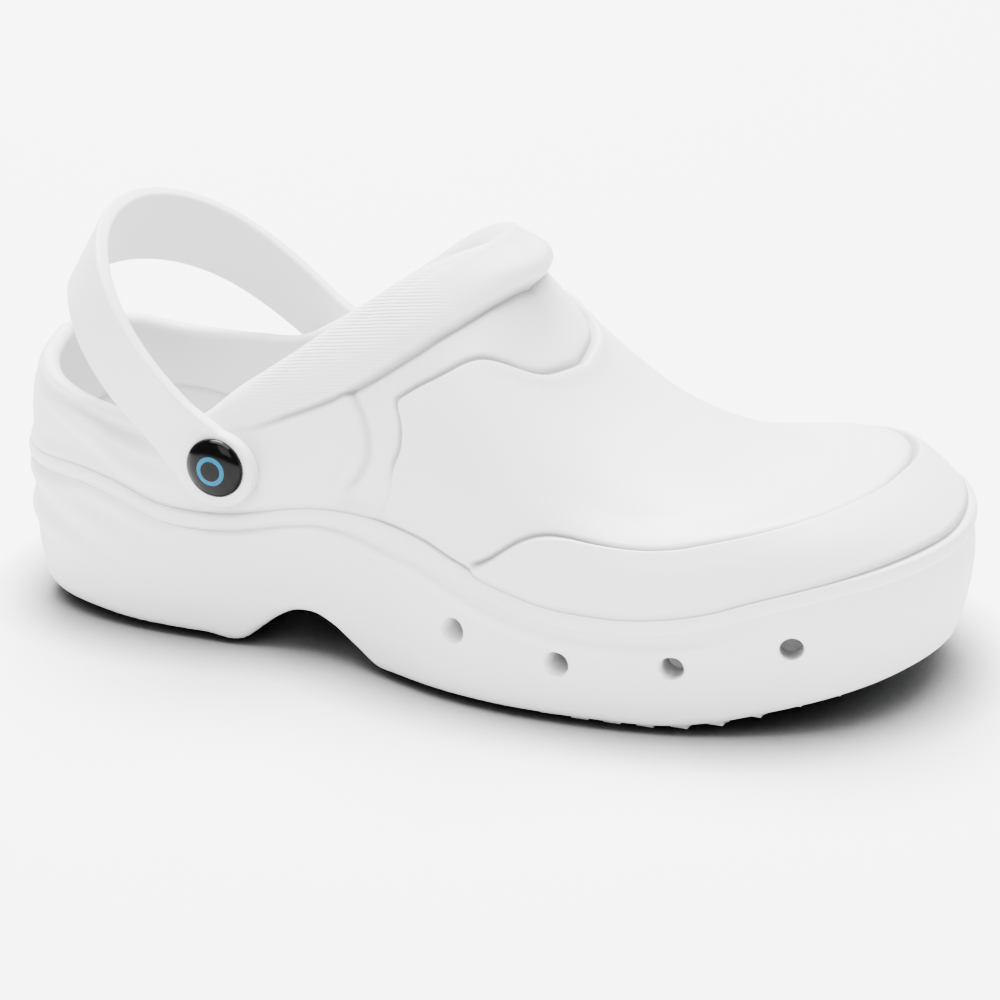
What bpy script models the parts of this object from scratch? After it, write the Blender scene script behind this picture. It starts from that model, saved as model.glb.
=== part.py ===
"""A moulded chef clog, right foot: hollow upper, cup sole, insole, raised heel strap and its rivets.

Metres, +Z up.  The toe points along +X, the outer (little toe) side faces -Y.  The shoe stands
empty on its lugs at Z 0 and its bounding box is centred on the origin in X and Y.
"""
import math

import bmesh
import bpy
import numpy as np
from mathutils import Matrix, Vector

# Main sizes
LENGTH = 0.2835
HALF_BREADTH = 0.055
HEIGHT = 0.118
WALL = 0.0034
HEEL_WALL = 0.0056
GAP = 0.0003

# Sole
RIM_LAND = 0.0052
BEAD_PROUD = 0.0012
BEAD_TALL = 0.0042
STEP_PROUD = 0.0008
FLOOR_HEEL = 0.0200
FLOOR_BALL = 0.0095
LUG_TALL = 0.0021
LUG_LONG = 0.0062
LUG_PITCH = 0.0094
LUG_CLEAR = 0.0060
LUG_SPLIT = 0.0030
VENT_WIDE = 0.0066
VENT_DEEP = 0.0150

# Upper
ROLL_WIDE = 0.0158
ROLL_PROUD = 0.0036
BAND_PROUD = 0.0012
YOKE_DEEP = 0.0010
CHANNEL_DEEP = 0.0009
WAVE_TALL = 0.0010
STEP_RUN = 0.0010

# Insole
INSOLE_THICK = 0.0035
INSOLE_CLEAR = 0.0024

# Strap and rivets
PIVOT_OUTER = 0.0780
PIVOT_INNER = 0.0850
PIVOT_UP = 0.0580
BOSS_PROUD = 0.0013
STRAP_RISE = math.radians(45.0)
STRAP_REACH = 0.0745
STRAP_SQUARE = 2.05
STRAP_BULGE = 0.24
STRAP_TWIST = 0.24
STRAP_WIDE = 0.0174
STRAP_WIDE_BACK = 0.0215
STRAP_THICK = 0.0042
STRAP_END = 0.0224
BOSS_WIDE = 0.0150
CAP_WIDE = 0.0176
CAP_TALL = 0.0034
SHANK_WIDE = 0.0064
FLANGE_WIDE = 0.0120
FLANGE_THICK = 0.0014

PIVOTS = {-1: PIVOT_OUTER, 1: PIVOT_INNER}

# Mesh density
COLUMNS = 78

# Plan outline at the bead: share of LENGTH, then shares of HALF_BREADTH to each side
OUTLINE = (
    # along, outer, inner
    (0.000, 0.000, 0.000),
    (0.003, 0.182, 0.182),
    (0.013, 0.364, 0.355),
    (0.043, 0.545, 0.530),
    (0.106, 0.673, 0.655),
    (0.176, 0.716, 0.694),
    (0.264, 0.727, 0.698),
    (0.353, 0.740, 0.690),
    (0.440, 0.785, 0.700),
    (0.529, 0.882, 0.764),
    (0.618, 0.964, 0.847),
    (0.681, 0.996, 0.905),
    (0.733, 1.004, 0.938),
    (0.783, 0.993, 0.948),
    (0.836, 0.949, 0.924),
    (0.883, 0.876, 0.867),
    (0.920, 0.782, 0.780),
    (0.952, 0.645, 0.635),
    (0.975, 0.482, 0.455),
    (0.991, 0.290, 0.245),
    (0.998, 0.110, 0.060),
)

# Sole sections: share of LENGTH, then shares of HEIGHT for the bead, the underside, how far
# the bottom edge stands out on each side, and the rounding of that edge
SOLE = (
    # along, bead, under, out_outer, out_inner, round
    (0.000, 0.415, 0.017, 0.000, 0.000, 0.090),
    (0.050, 0.417, 0.017, 0.000, 0.000, 0.080),
    (0.101, 0.416, 0.017, 0.000, 0.000, 0.065),
    (0.142, 0.395, 0.017, 0.000, 0.000, 0.045),
    (0.192, 0.352, 0.017, 0.000, 0.000, 0.035),
    (0.233, 0.344, 0.017, 0.000, 0.000, 0.034),
    (0.281, 0.352, 0.020, 0.000, -0.002, 0.034),
    (0.296, 0.359, 0.048, 0.000, -0.006, 0.034),
    (0.319, 0.371, 0.090, 0.001, -0.010, 0.034),
    (0.339, 0.382, 0.114, 0.003, -0.012, 0.034),
    (0.360, 0.392, 0.119, 0.005, -0.012, 0.034),
    (0.385, 0.399, 0.100, 0.010, -0.010, 0.034),
    (0.415, 0.401, 0.055, 0.018, -0.005, 0.034),
    (0.440, 0.397, 0.020, 0.026, 0.000, 0.034),
    (0.461, 0.390, 0.017, 0.034, 0.003, 0.034),
    (0.496, 0.373, 0.017, 0.046, 0.008, 0.034),
    (0.541, 0.334, 0.017, 0.052, 0.012, 0.034),
    (0.587, 0.302, 0.017, 0.050, 0.014, 0.034),
    (0.637, 0.280, 0.017, 0.040, 0.013, 0.034),
    (0.699, 0.277, 0.017, 0.026, 0.010, 0.034),
    (0.759, 0.292, 0.018, 0.010, 0.004, 0.034),
    (0.810, 0.320, 0.034, -0.004, -0.006, 0.034),
    (0.850, 0.352, 0.054, -0.012, -0.013, 0.036),
    (0.894, 0.380, 0.077, -0.018, -0.020, 0.038),
    (0.937, 0.400, 0.100, -0.018, -0.021, 0.040),
    (0.974, 0.410, 0.118, -0.016, -0.019, 0.042),
    (1.000, 0.412, 0.128, -0.014, -0.017, 0.044),
)

# Collar line: share of the way round a side from heel to toe, then shares of LENGTH,
# HALF_BREADTH and HEIGHT
COLLAR = (
    # round, along, side, up
    (0.000, 0.013, 0.000, 0.640),
    (0.061, 0.027, 0.320, 0.623),
    (0.100, 0.051, 0.480, 0.602),
    (0.158, 0.109, 0.600, 0.568),
    (0.217, 0.178, 0.660, 0.552),
    (0.270, 0.236, 0.672, 0.560),
    (0.320, 0.282, 0.660, 0.610),
    (0.380, 0.330, 0.618, 0.686),
    (0.450, 0.376, 0.555, 0.763),
    (0.530, 0.423, 0.482, 0.843),
    (0.620, 0.469, 0.373, 0.924),
    (0.720, 0.504, 0.255, 0.975),
    (0.840, 0.522, 0.133, 0.997),
    (1.000, 0.527, 0.000, 1.000),
)

# Heights of each wall section between bead and collar, at the inward shares in INWARD
INWARD = (0.04, 0.14, 0.40, 0.70, 0.85)
SECTION = (
    # round, and the share of the rise reached at each inward share
    (0.000, 0.30, 0.52, 0.74, 0.89, 0.95),
    (0.300, 0.26, 0.50, 0.72, 0.88, 0.94),
    (0.440, 0.24, 0.45, 0.70, 0.87, 0.94),
    (0.520, 0.215, 0.400, 0.675, 0.865, 0.935),
    (0.600, 0.170, 0.320, 0.600, 0.845, 0.925),
    (0.660, 0.130, 0.240, 0.480, 0.770, 0.895),
    (0.720, 0.108, 0.190, 0.365, 0.655, 0.845),
    (0.780, 0.098, 0.175, 0.285, 0.535, 0.765),
    (0.840, 0.090, 0.172, 0.232, 0.436, 0.688),
    (0.900, 0.083, 0.170, 0.215, 0.378, 0.628),
    (1.000, 0.076, 0.168, 0.208, 0.342, 0.592),
)

# Overlay edges on the upper: distances as shares of HEIGHT, the band measured up from the
# bead on each side, the yoke measured down from the roll, and the roll as a share of ROLL_WIDE
OVERLAYS = (
    # round, band_outer, band_inner, band_proud, yoke, yoke_deep, roll
    (0.000, 0.045, 0.045, 0.0, 0.045, 0.0, 0.25),
    (0.220, 0.045, 0.045, 0.0, 0.040, 0.0, 0.24),
    (0.310, 0.045, 0.045, 0.0, 0.035, 0.0, 0.34),
    (0.360, 0.045, 0.045, 0.0, 0.045, 0.0, 0.50),
    (0.405, 0.045, 0.045, 0.0, 0.060, 0.0, 0.68),
    (0.450, 0.045, 0.045, 0.0, 0.072, 0.0, 0.84),
    (0.480, 0.045, 0.045, 0.0, 0.080, 1.0, 0.90),
    (0.545, 0.045, 0.045, 0.0, 0.080, 1.0, 0.97),
    (0.575, 0.090, 0.085, 1.0, 0.088, 1.0, 1.00),
    (0.600, 0.145, 0.130, 1.0, 0.092, 1.0, 1.00),
    (0.632, 0.184, 0.160, 1.0, 0.093, 1.0, 1.00),
    (0.668, 0.192, 0.168, 1.0, 0.107, 1.0, 0.98),
    (0.716, 0.182, 0.158, 1.0, 0.141, 1.0, 0.95),
    (0.760, 0.170, 0.143, 1.0, 0.174, 1.0, 0.93),
    (0.815, 0.160, 0.125, 1.0, 0.197, 1.0, 0.92),
    (0.870, 0.170, 0.118, 1.0, 0.204, 1.0, 0.92),
    (0.930, 0.190, 0.145, 1.0, 0.208, 1.0, 0.94),
    (1.000, 0.186, 0.186, 1.0, 0.210, 1.0, 0.97),
)

# Recess between the quarter and the vamp: share of HEIGHT above the bead, then the round of
# its rear and front edges
CHANNEL = (
    # low, rear, front
    (0.000, 0.409, 0.449),
    (0.050, 0.413, 0.455),
    (0.100, 0.428, 0.463),
    (0.160, 0.442, 0.472),
    (0.210, 0.448, 0.484),
    (0.280, 0.452, 0.496),
    (0.400, 0.452, 0.503),
)

# Column spacing round each side: bigger numbers crowd the columns
CROWD = (
    # round, weight
    (0.000, 1.2), (0.120, 1.1), (0.240, 0.9), (0.300, 1.3), (0.450, 1.4), (0.520, 1.0),
    (0.700, 0.8), (0.850, 1.1), (1.000, 1.5),
)

# Vents through the outer and inner side of the rim: share of LENGTH, share of HEIGHT
VENTS = (
    # along, up
    (0.545, 0.190), (0.657, 0.159), (0.773, 0.182), (0.883, 0.238),
)


def tween(rows, column, at, key=0):
    """Smooth value of one table column at places given in the key column."""
    table = np.asarray(rows, float)
    x, y = table[:, key], table[:, column]
    step = np.diff(x)
    rise = np.diff(y) / step
    slope = np.empty_like(y)
    slope[1:-1] = (rise[:-1] * step[1:] + rise[1:] * step[:-1]) / (step[1:] + step[:-1])
    turn = rise[:-1] * rise[1:] <= 0.0
    slope[1:-1][turn] *= 0.25
    slope[0], slope[-1] = 0.0, 0.0
    at = np.clip(np.asarray(at, float), x[0], x[-1])
    i = np.clip(np.searchsorted(x, at, side="right") - 1, 0, len(x) - 2)
    h = step[i]
    t = (at - x[i]) / h
    a = y[i] * (1 + 2 * t) * (1 - t) ** 2 + y[i + 1] * t * t * (3 - 2 * t)
    return a + h * (slope[i] * t * (1 - t) ** 2 - slope[i + 1] * t * t * (1 - t))


def ease(value, start, stop):
    """Nought before start, one after stop, smooth between."""
    t = np.clip((value - start) / (stop - start), 0.0, 1.0)
    return t * t * (3 - 2 * t)


def closed_spline(points, count):
    """Periodic cubic curve through points, at equal steps of length, with a fine count."""
    pts = np.asarray(points, float)
    n = len(pts)
    seg = np.linalg.norm(np.roll(pts, -1, 0) - pts, axis=1) ** 0.75
    before = np.roll(seg, 1)
    system = np.zeros((n, n))
    right = np.zeros_like(pts)
    for k in range(n):
        system[k, k - 1] += seg[k]
        system[k, k] += 2 * (seg[k] + before[k])
        system[k, (k + 1) % n] += before[k]
        ahead = (pts[(k + 1) % n] - pts[k]) / seg[k]
        behind = (pts[k] - pts[k - 1]) / before[k]
        right[k] = 3 * (seg[k] * behind + before[k] * ahead)
    tangent = np.linalg.solve(system, right)
    out = []
    for k in range(n):
        t = np.linspace(0, 1, count, endpoint=False)[:, None]
        a, b = pts[k], pts[(k + 1) % n]
        out.append(a * (1 + 2 * t) * (1 - t) ** 2 + b * t * t * (3 - 2 * t)
                   + seg[k] * (tangent[k] * t * (1 - t) ** 2
                               - tangent[(k + 1) % n] * t * t * (1 - t)))
    return np.vstack(out)


def open_spline(knots, fine):
    """Natural cubic curves through knots (rows) for many columns at once."""
    n = len(knots)
    seg = np.linalg.norm(np.diff(knots, axis=0), axis=2) ** 0.6
    columns = knots.shape[1]
    system = np.zeros((columns, n, n))
    right = np.zeros((columns, n, 3))
    chord = np.diff(knots, axis=0) / seg[:, :, None]
    for k in range(n):
        if k > 0:
            system[:, k, k - 1] += 1 / seg[k - 1]
            system[:, k, k] += 2 / seg[k - 1]
            right[:, k] += 3 * chord[k - 1] / seg[k - 1][:, None]
        if k < n - 1:
            system[:, k, k + 1] += 1 / seg[k]
            system[:, k, k] += 2 / seg[k]
            right[:, k] += 3 * chord[k] / seg[k][:, None]
    tangent = np.linalg.solve(system, right)
    total = np.vstack([np.zeros(columns), np.cumsum(seg, axis=0)])
    out = np.empty((fine, columns, 3))
    for row, share in enumerate(np.linspace(0, 1, fine)):
        at = share * total[-1]
        k = np.clip((total[1:] < at - 1e-12).sum(axis=0), 0, n - 2)
        c = np.arange(columns)
        h = seg[k, c][:, None]
        t = ((at - total[k, c]) / seg[k, c])[:, None]
        a, b = knots[k, c], knots[k + 1, c]
        out[row] = (a * (1 + 2 * t) * (1 - t) ** 2 + b * t * t * (3 - 2 * t)
                    + h * (tangent[c, k] * t * (1 - t) ** 2 - tangent[c, k + 1] * t * t * (1 - t)))
    return out


class Last:
    """The plan line round the foot, with a place, a side and an inward direction per column."""

    def __init__(self):
        rows = np.asarray(OUTLINE)
        outer = np.c_[rows[:, 0] * LENGTH, -rows[:, 1] * HALF_BREADTH]
        inner = np.c_[rows[:, 0] * LENGTH, rows[:, 2] * HALF_BREADTH]
        loop = np.vstack([outer, inner[-2:0:-1]])
        self.curve = closed_spline(loop, 60)
        toe = int(np.argmax(self.curve[:, 0]))
        self.sides = (self.curve[:toe + 1], np.vstack([self.curve[toe:], self.curve[:1]])[::-1])
        self.lengths = tuple(
            np.r_[0, np.cumsum(np.linalg.norm(np.diff(side, axis=0), axis=1))]
            for side in self.sides)

    def columns(self, count):
        """Signed places round the foot: 0 heel, 1 toe; side -1 outer and +1 inner."""
        half = count // 2
        fine = np.linspace(0, 1, 401)
        weight = tween(CROWD, 1, fine)
        total = np.r_[0, np.cumsum((weight[1:] + weight[:-1]) / 2)]
        place = np.interp(np.linspace(0, 1, half + 1), total / total[-1], fine)
        return (np.r_[place, place[-2:0:-1]],
                np.r_[-np.ones(half + 1), np.ones(half - 1)])

    def point(self, place, side):
        """Plan points of the bead line."""
        both = []
        for k in (0, 1):
            length = self.lengths[k]
            at = np.asarray(place) * length[-1]
            both.append(np.c_[np.interp(at, length, self.sides[k][:, 0]),
                              np.interp(at, length, self.sides[k][:, 1])])
        return np.where(np.asarray(side)[:, None] < 0, both[0], both[1])


def inward(loop):
    """Unit plan directions pointing into a closed loop that runs heel, outer side, toe."""
    ahead = np.roll(loop, -1, 0) - np.roll(loop, 1, 0)
    ahead = ahead[:, :2] / np.linalg.norm(ahead[:, :2], axis=1)[:, None]
    return np.c_[-ahead[:, 1], ahead[:, 0], np.zeros(len(loop))]


def flat(points, height):
    """Plan points lifted to a height."""
    return np.c_[points[:, :2], np.broadcast_to(height, len(points))]


def under(along):
    """Height of the sole's underside above the ground, lugs left off."""
    return tween(SOLE, 2, along / LENGTH) * HEIGHT


def bead_height(along):
    """Height of the bead at the top of the sole."""
    return tween(SOLE, 1, along / LENGTH) * HEIGHT


def floor_height(along):
    """Height of the footbed inside the sole."""
    return FLOOR_HEEL + (FLOOR_BALL - FLOOR_HEEL) * ease(along / LENGTH, 0.22, 0.62) \
        + 0.010 * ease(along / LENGTH, 0.80, 1.06) ** 1.2


def bump(distance, wide):
    """Round bump, one at the middle and nought at plus or minus half of wide."""
    t = np.clip(np.abs(distance) / (wide / 2), 0, 1)
    return np.sqrt(1 - t * t)


def sole_rings(last, place, side):
    """Rings of the sole from the middle of the underside, up its side, to the footbed."""
    bead = last.point(place, side)
    along = bead[:, 0] / LENGTH
    into = inward(bead)
    top = bead_height(bead[:, 0])
    out = np.where(side < 0, tween(SOLE, 3, along), tween(SOLE, 4, along)) * HEIGHT
    base = bead - into[:, :2] * out[:, None]
    low = under(base[:, 0])
    rings = []
    edge = tween(SOLE, 5, along) * HEIGHT
    for inset, more, lift in ((1.0, 0.0040, 0.0), (1.0, 0.0, 0.0), (0.35, 0.0, 0.24),
                              (0.0, 0.0, 1.0)):
        ring = base + into[:, :2] * (edge * inset + more)[:, None]
        rings.append(flat(ring, under(ring[:, 0]) + edge * lift))
    start = low + edge
    fade = ease(along, 0.17, 0.28) * (1 - ease(along, 0.70, 0.80))
    step = top - HEIGHT * (0.045 + 0.035 * ease(along, 0.36, 0.47))
    levels = [start + (step - start) * k for k in (0.35, 0.70, 0.93)]
    levels += [step, step + 0.0016, top - BEAD_TALL - 0.0004, top - BEAD_TALL * 0.62,
               top - BEAD_TALL * 0.25, top]
    for level in levels:
        share = ((level - start) / (top - start))[:, None]
        rise = share[:, 0]
        swell = 0.0012 * np.sin(np.pi * np.clip(rise, 0, 1))
        ledge = STEP_PROUD * fade * (1 - ease(level - step, 0.0, 0.0016)) * ease(rise, 0.2, 0.7)
        bead_out = BEAD_PROUD * bump(level - top + BEAD_TALL * 0.4, BEAD_TALL * 1.2)
        wave = WAVE_TALL * (1 - ease(along, 0.13, 0.24)) * np.sin(
            2 * np.pi * (level / HEIGHT - 0.10 * np.cos(np.pi * along / 0.25)) / 0.115) \
            * ease(rise, 0.15, 0.4) * (1 - ease(rise, 0.85, 1.0))
        blend = np.where(out[:, None] > 0, share ** 1.3, 1 - (1 - share) ** 2.2)
        ring = base * (1 - blend) + bead * blend \
            - into[:, :2] * (swell + ledge + bead_out + wave)[:, None]
        rings.append(flat(ring, level))
    rings.append(flat(bead + into[:, :2] * RIM_LAND, top))
    floor = floor_height(bead[:, 0])
    for inset, share in ((RIM_LAND + 0.0004, 0.5), (RIM_LAND + 0.0008, 0.08),
                         (RIM_LAND + 0.0020, 0.0)):
        ring = bead + into[:, :2] * inset
        rings.append(flat(ring, floor_height(ring[:, 0]) + (top - floor) * share))
    ring = bead + into[:, :2] * 0.0170
    rings.append(flat(ring, floor_height(ring[:, 0])))
    return rings


def wall_sections(last, place, side, fine=80):
    """Wall sections as (fine, columns, 3) from the bead to the collar, and their lengths."""
    bead = last.point(place, side)
    start = flat(bead + inward(bead)[:, :2] * 0.0006, bead_height(bead[:, 0]) + GAP)
    stop = np.c_[tween(COLLAR, 1, place) * LENGTH,
                 side * tween(COLLAR, 2, place) * HALF_BREADTH,
                 tween(COLLAR, 3, place) * HEIGHT]
    knots = [start]
    for k, share in enumerate(INWARD):
        knot = start + (stop - start) * share
        knot[:, 2] = start[:, 2] + (stop - start)[:, 2] * tween(SECTION, k + 1, place)
        knots.append(knot)
    knots = np.stack(knots + [stop])
    wall = open_spline(knots, fine)
    steps = np.linalg.norm(np.diff(wall, axis=0), axis=2)
    return wall, np.vstack([np.zeros(len(place)), np.cumsum(steps, axis=0)])


def on_wall(wall, lengths, at):
    """Points of each section at the given distances from the bead."""
    out = np.empty((len(at), 3))
    for k in range(3):
        out[:, k] = [np.interp(at[c], lengths[:, c], wall[:, c, k]) for c in range(len(at))]
    return out


def outward(rings):
    """Outward unit normals of a grid of rings that rises from the bead to the collar."""
    grid = np.asarray(rings)
    round_ = np.roll(grid, -1, 1) - np.roll(grid, 1, 1)
    rise = np.gradient(grid, axis=0)
    normal = np.cross(round_, rise)
    return normal / np.linalg.norm(normal, axis=2)[:, :, None]


def thickness(place):
    """Thickness of the upper's wall: the heel cup is thicker."""
    return WALL + (HEEL_WALL - WALL) * (1 - ease(place, 0.14, 0.27))


def band_edge(place, side):
    """Distance from the bead to the toe band's upper edge."""
    return np.where(side < 0, tween(OVERLAYS, 1, place), tween(OVERLAYS, 2, place)) * HEIGHT


def overlay(place, side, low, high, along):
    """How far the moulded overlays stand out, from the distances to the bead and to the rim."""
    band = band_edge(place, side)
    roll = ROLL_WIDE * tween(OVERLAYS, 6, place)
    yoke = roll + tween(OVERLAYS, 4, place) * HEIGHT
    out = BAND_PROUD * tween(OVERLAYS, 3, place) * (1 - ease(low, band, band + STEP_RUN))
    out = out - YOKE_DEEP * tween(OVERLAYS, 5, place) * (1 - ease(high, yoke, yoke + STEP_RUN)) \
        * ease(high, roll, roll + STEP_RUN)
    strength = tween(OVERLAYS, 6, place)
    out = out + ROLL_PROUD * strength ** 2 * bump(high - roll * 0.5, roll)
    rear, front = tween(CHANNEL, 1, low / HEIGHT), tween(CHANNEL, 2, low / HEIGHT)
    channel = ease(place, rear - 0.004, rear + 0.004) * (1 - ease(place, front - 0.004,
                                                                  front + 0.004))
    out = out - CHANNEL_DEEP * channel * ease(high, roll, roll + STEP_RUN * 2)
    heel = 1 - ease(along / LENGTH, 0.13, 0.22)
    return out + WAVE_TALL * heel * np.sin(np.pi * np.clip(low / 0.012, 0, 1)) ** 2


def upper_rings(last, place, side):
    """Rings of the upper: up the outside, over the collar and down the inside."""
    wall, lengths = wall_sections(last, place, side)
    total = lengths[-1]
    band = band_edge(place, side)
    roll = ROLL_WIDE * tween(OVERLAYS, 6, place)
    yoke = roll + tween(OVERLAYS, 4, place) * HEIGHT
    thick = thickness(place)[:, None]
    marks = [np.zeros_like(total), band * 0.5, band, band + STEP_RUN]
    marks += [band + STEP_RUN + (total - yoke - 2 * STEP_RUN - band) * k
              for k in (0.12, 0.30, 0.50, 0.72, 0.90)]
    marks += [total - yoke - STEP_RUN, total - yoke, total - (yoke + roll) * 0.5,
              total - roll, total - roll * 0.88, total - roll * 0.62, total - roll * 0.34,
              total - roll * 0.10]
    base = [on_wall(wall, lengths, mark) for mark in marks]
    base.append(wall[-1])
    marks.append(total)
    normal = outward(base)
    rings = []
    for k, (ring, mark) in enumerate(zip(base, marks)):
        out = overlay(place, side, mark, total - mark, ring[:, 0])
        rings.append(ring + normal[k] * out[:, None])
    lip = tween(OVERLAYS, 6, place)[:, None] ** 2
    top = base[-1]
    ahead = normal[-1]
    climb = np.cross(np.roll(top, -1, 0) - np.roll(top, 1, 0), ahead)
    climb /= -np.linalg.norm(climb, axis=1)[:, None]
    rings[-1] = top + ahead * 0.0002 + climb * (0.0004 + 0.0008 * lip)
    inner = [top - ahead * thick * 0.5 + climb * (0.0010 + 0.0004 * lip),
             top - ahead * thick * 0.97 + climb * 0.0002]
    for k in (15, 13, 10, 8, 6, 4, 2):
        inner.append(base[k] - normal[k] * thick)
    foot = base[0] - normal[0] * thick
    foot[:, 2] = base[0][:, 2]
    inner.append(foot)
    return rings + inner


def skin(name, rings, ends):
    """Mesh object from rings: ends 'joined' links last to first, 'filled' closes both."""
    count = len(rings[0])
    verts = np.vstack(rings)
    faces = []
    links = len(rings) if ends == "joined" else len(rings) - 1
    for k in range(links):
        a, b = k * count, ((k + 1) % len(rings)) * count
        for c in range(count):
            d = (c + 1) % count
            faces.append((a + c, a + d, b + d, b + c))
    if ends == "filled":
        for start, flip in ((0, True), ((len(rings) - 1) * count, False)):
            for c in range(count // 2):
                quad = [start + c, start + c + 1, start + (count - c - 1) % count,
                        start + (count - c) % count]
                quad = list(dict.fromkeys(quad))
                faces.append(tuple(reversed(quad)) if flip else tuple(quad))
    mesh = bpy.data.meshes.new(name)
    mesh.from_pydata([tuple(v) for v in verts], [], faces)
    mesh.validate()
    return place_object(name, mesh)


def place_object(name, mesh):
    """Object for a mesh, in the part's collection, faces turned out."""
    bm = bmesh.new()
    bm.from_mesh(mesh)
    bmesh.ops.recalc_face_normals(bm, faces=bm.faces)
    bm.to_mesh(mesh)
    bm.free()
    obj = bpy.data.objects.new(name, mesh)
    PART.objects.link(obj)
    return obj


def as_cutter(obj):
    """Move an object to the cutters' collection and hide it."""
    PART.objects.unlink(obj)
    CUTTERS.objects.link(obj)
    obj.hide_render = True
    obj.display_type = "WIRE"
    return obj


def boolean(obj, other, operation):
    """Exact Boolean of obj with other, applied to obj's mesh."""
    modifier = obj.modifiers.new("cut", "BOOLEAN")
    modifier.operation = operation
    modifier.solver = "EXACT"
    modifier.object = other
    graph = bpy.context.evaluated_depsgraph_get()
    mesh = bpy.data.meshes.new_from_object(obj.evaluated_get(graph))
    obj.modifiers.remove(modifier)
    obj.data = mesh
    bm = bmesh.new()
    bm.from_mesh(mesh)
    bmesh.ops.remove_doubles(bm, verts=bm.verts, dist=0.00001)
    bmesh.ops.dissolve_degenerate(bm, edges=bm.edges, dist=0.000005)
    bm.to_mesh(mesh)
    bm.free()


def rods(name, spots, wide, long):
    """Cylinders in one object: spots are (centre, direction)."""
    bm = bmesh.new()
    for centre, direction in spots:
        turn = Vector(direction).to_track_quat("Z", "Y").to_matrix().to_4x4()
        bmesh.ops.create_cone(bm, cap_ends=True, segments=16, radius1=wide / 2,
                              radius2=wide / 2, depth=long,
                              matrix=Matrix.Translation(Vector(centre)) @ turn)
    mesh = bpy.data.meshes.new(name)
    bm.to_mesh(mesh)
    bm.free()
    return place_object(name, mesh)


def edge_at(last, along, side):
    """Plan point and inward direction of the bead line at one distance from the heel."""
    place = np.linspace(0, 1, 801)
    line = last.point(place, np.full(801, float(side)))
    k = int(np.argmin(np.abs(line[:, 0] - along) + (place < 0.02) * 1.0))
    step = line[min(k + 2, 800)] - line[max(k - 2, 0)]
    step /= np.linalg.norm(step)
    into = np.array([-step[1], step[0]]) * (1 if side < 0 else -1)
    return line[k], into


def lugs(last):
    """The tread: rows of square-ended lugs under the heel and the forefoot, in one object."""
    bm = bmesh.new()
    reaches = ((0.056, 0.268, 2), (0.460, 0.915, 3))
    for start, stop, across in reaches:
        rows = int((stop - start) * LENGTH / LUG_PITCH) + 1
        for r in range(rows):
            along = start * LENGTH + LUG_LONG / 2 + r * LUG_PITCH
            if along + LUG_LONG / 2 > stop * LENGTH:
                continue
            outer = min(-edge_at(last, along - LUG_LONG / 2, -1)[0][1],
                        -edge_at(last, along + LUG_LONG / 2, -1)[0][1])
            inner = min(edge_at(last, along - LUG_LONG / 2, 1)[0][1],
                        edge_at(last, along + LUG_LONG / 2, 1)[0][1])
            tuck = LUG_CLEAR + 0.004 * float(ease(along / LENGTH, 0.70, 0.88)) \
                - float(tween(SOLE, 3, along / LENGTH)) * HEIGHT
            low, high = -outer + tuck, inner - max(tuck, LUG_CLEAR)
            wide = (high - low - LUG_SPLIT * (across - 1)) / across
            for c in range(across):
                left = low + c * (wide + LUG_SPLIT)
                top, bottom = [], []
                for dx, dy in ((-1, 0), (1, 0), (1, 1), (-1, 1)):
                    x = along + dx * LUG_LONG / 2
                    y = left + dy * wide
                    z = float(under(np.array([x]))[0])
                    top.append(bm.verts.new((x, y, z + 0.0012)))
                    bottom.append(bm.verts.new((x - dx * 0.0004, y, z - LUG_TALL)))
                bm.faces.new(bottom)
                bm.faces.new(list(reversed(top)))
                for k in range(4):
                    bm.faces.new((bottom[k], top[k], top[(k + 1) % 4], bottom[(k + 1) % 4]))
    for vert in bm.verts:
        vert.co.z = max(vert.co.z, 0.0)
    mesh = bpy.data.meshes.new("lugs")
    bm.to_mesh(mesh)
    bm.free()
    return place_object("lugs", mesh)


def strap_frame():
    """Directions of the raised strap: away from the pivots, and across its width."""
    away = np.array([-math.cos(STRAP_RISE), 0.0, math.sin(STRAP_RISE)])
    across = np.array([math.sin(STRAP_RISE), 0.0, math.cos(STRAP_RISE)])
    return away, across


def strap_line(half_gap, count):
    """Strap centre line as (side, reach) pairs, its outward directions and its shares."""
    turn = np.linspace(0, math.pi, count)
    c, s = np.cos(turn), np.sin(turn)
    reach = np.abs(s) ** (2 / STRAP_SQUARE)
    line = np.c_[-half_gap * np.sign(c) * np.abs(c) ** (2 / STRAP_SQUARE)
                 * (1 + STRAP_BULGE * ease(reach, 0.13, 1.0)), STRAP_REACH * reach]
    ahead = np.gradient(line, axis=0)
    ahead /= np.linalg.norm(ahead, axis=1)[:, None]
    return line, np.c_[-ahead[:, 1], ahead[:, 0]], reach


def strap_stations(half_gap):
    """Rings along the strap: side, reach, outward direction, half width, lift share."""
    line, out, lift = strap_line(half_gap, 36)
    radius = STRAP_END / 2
    wide = (STRAP_WIDE + (STRAP_WIDE_BACK - STRAP_WIDE) * lift ** 2.2) / 2
    low = STRAP_WIDE / 2 - wide
    round_ = np.sqrt(np.clip(radius ** 2 - line[:, 1] ** 2, 0, None))
    neck = (radius - wide) * (1 - ease(line[:, 1], radius * 0.5, radius * 1.5))
    wide = np.maximum(round_, wide + neck * 0.45)
    tips = radius * np.sin(np.radians((84.0, 66.0, 44.0, 22.0)))
    rows = [(near, reach, o, w, up, d)
            for near, reach, o, w, up, d in zip(line[:, 0], line[:, 1], out, wide, lift, low)]
    ends = []
    for near, side in ((line[0, 0], -1.0), (line[-1, 0], 1.0)):
        ends.append([(near, -tip, np.array([side, 0.0]), math.sqrt(radius ** 2 - tip ** 2), 0.0, 0.0)
                     for tip in tips])
    return ends[0] + rows + ends[1][::-1]


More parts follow.
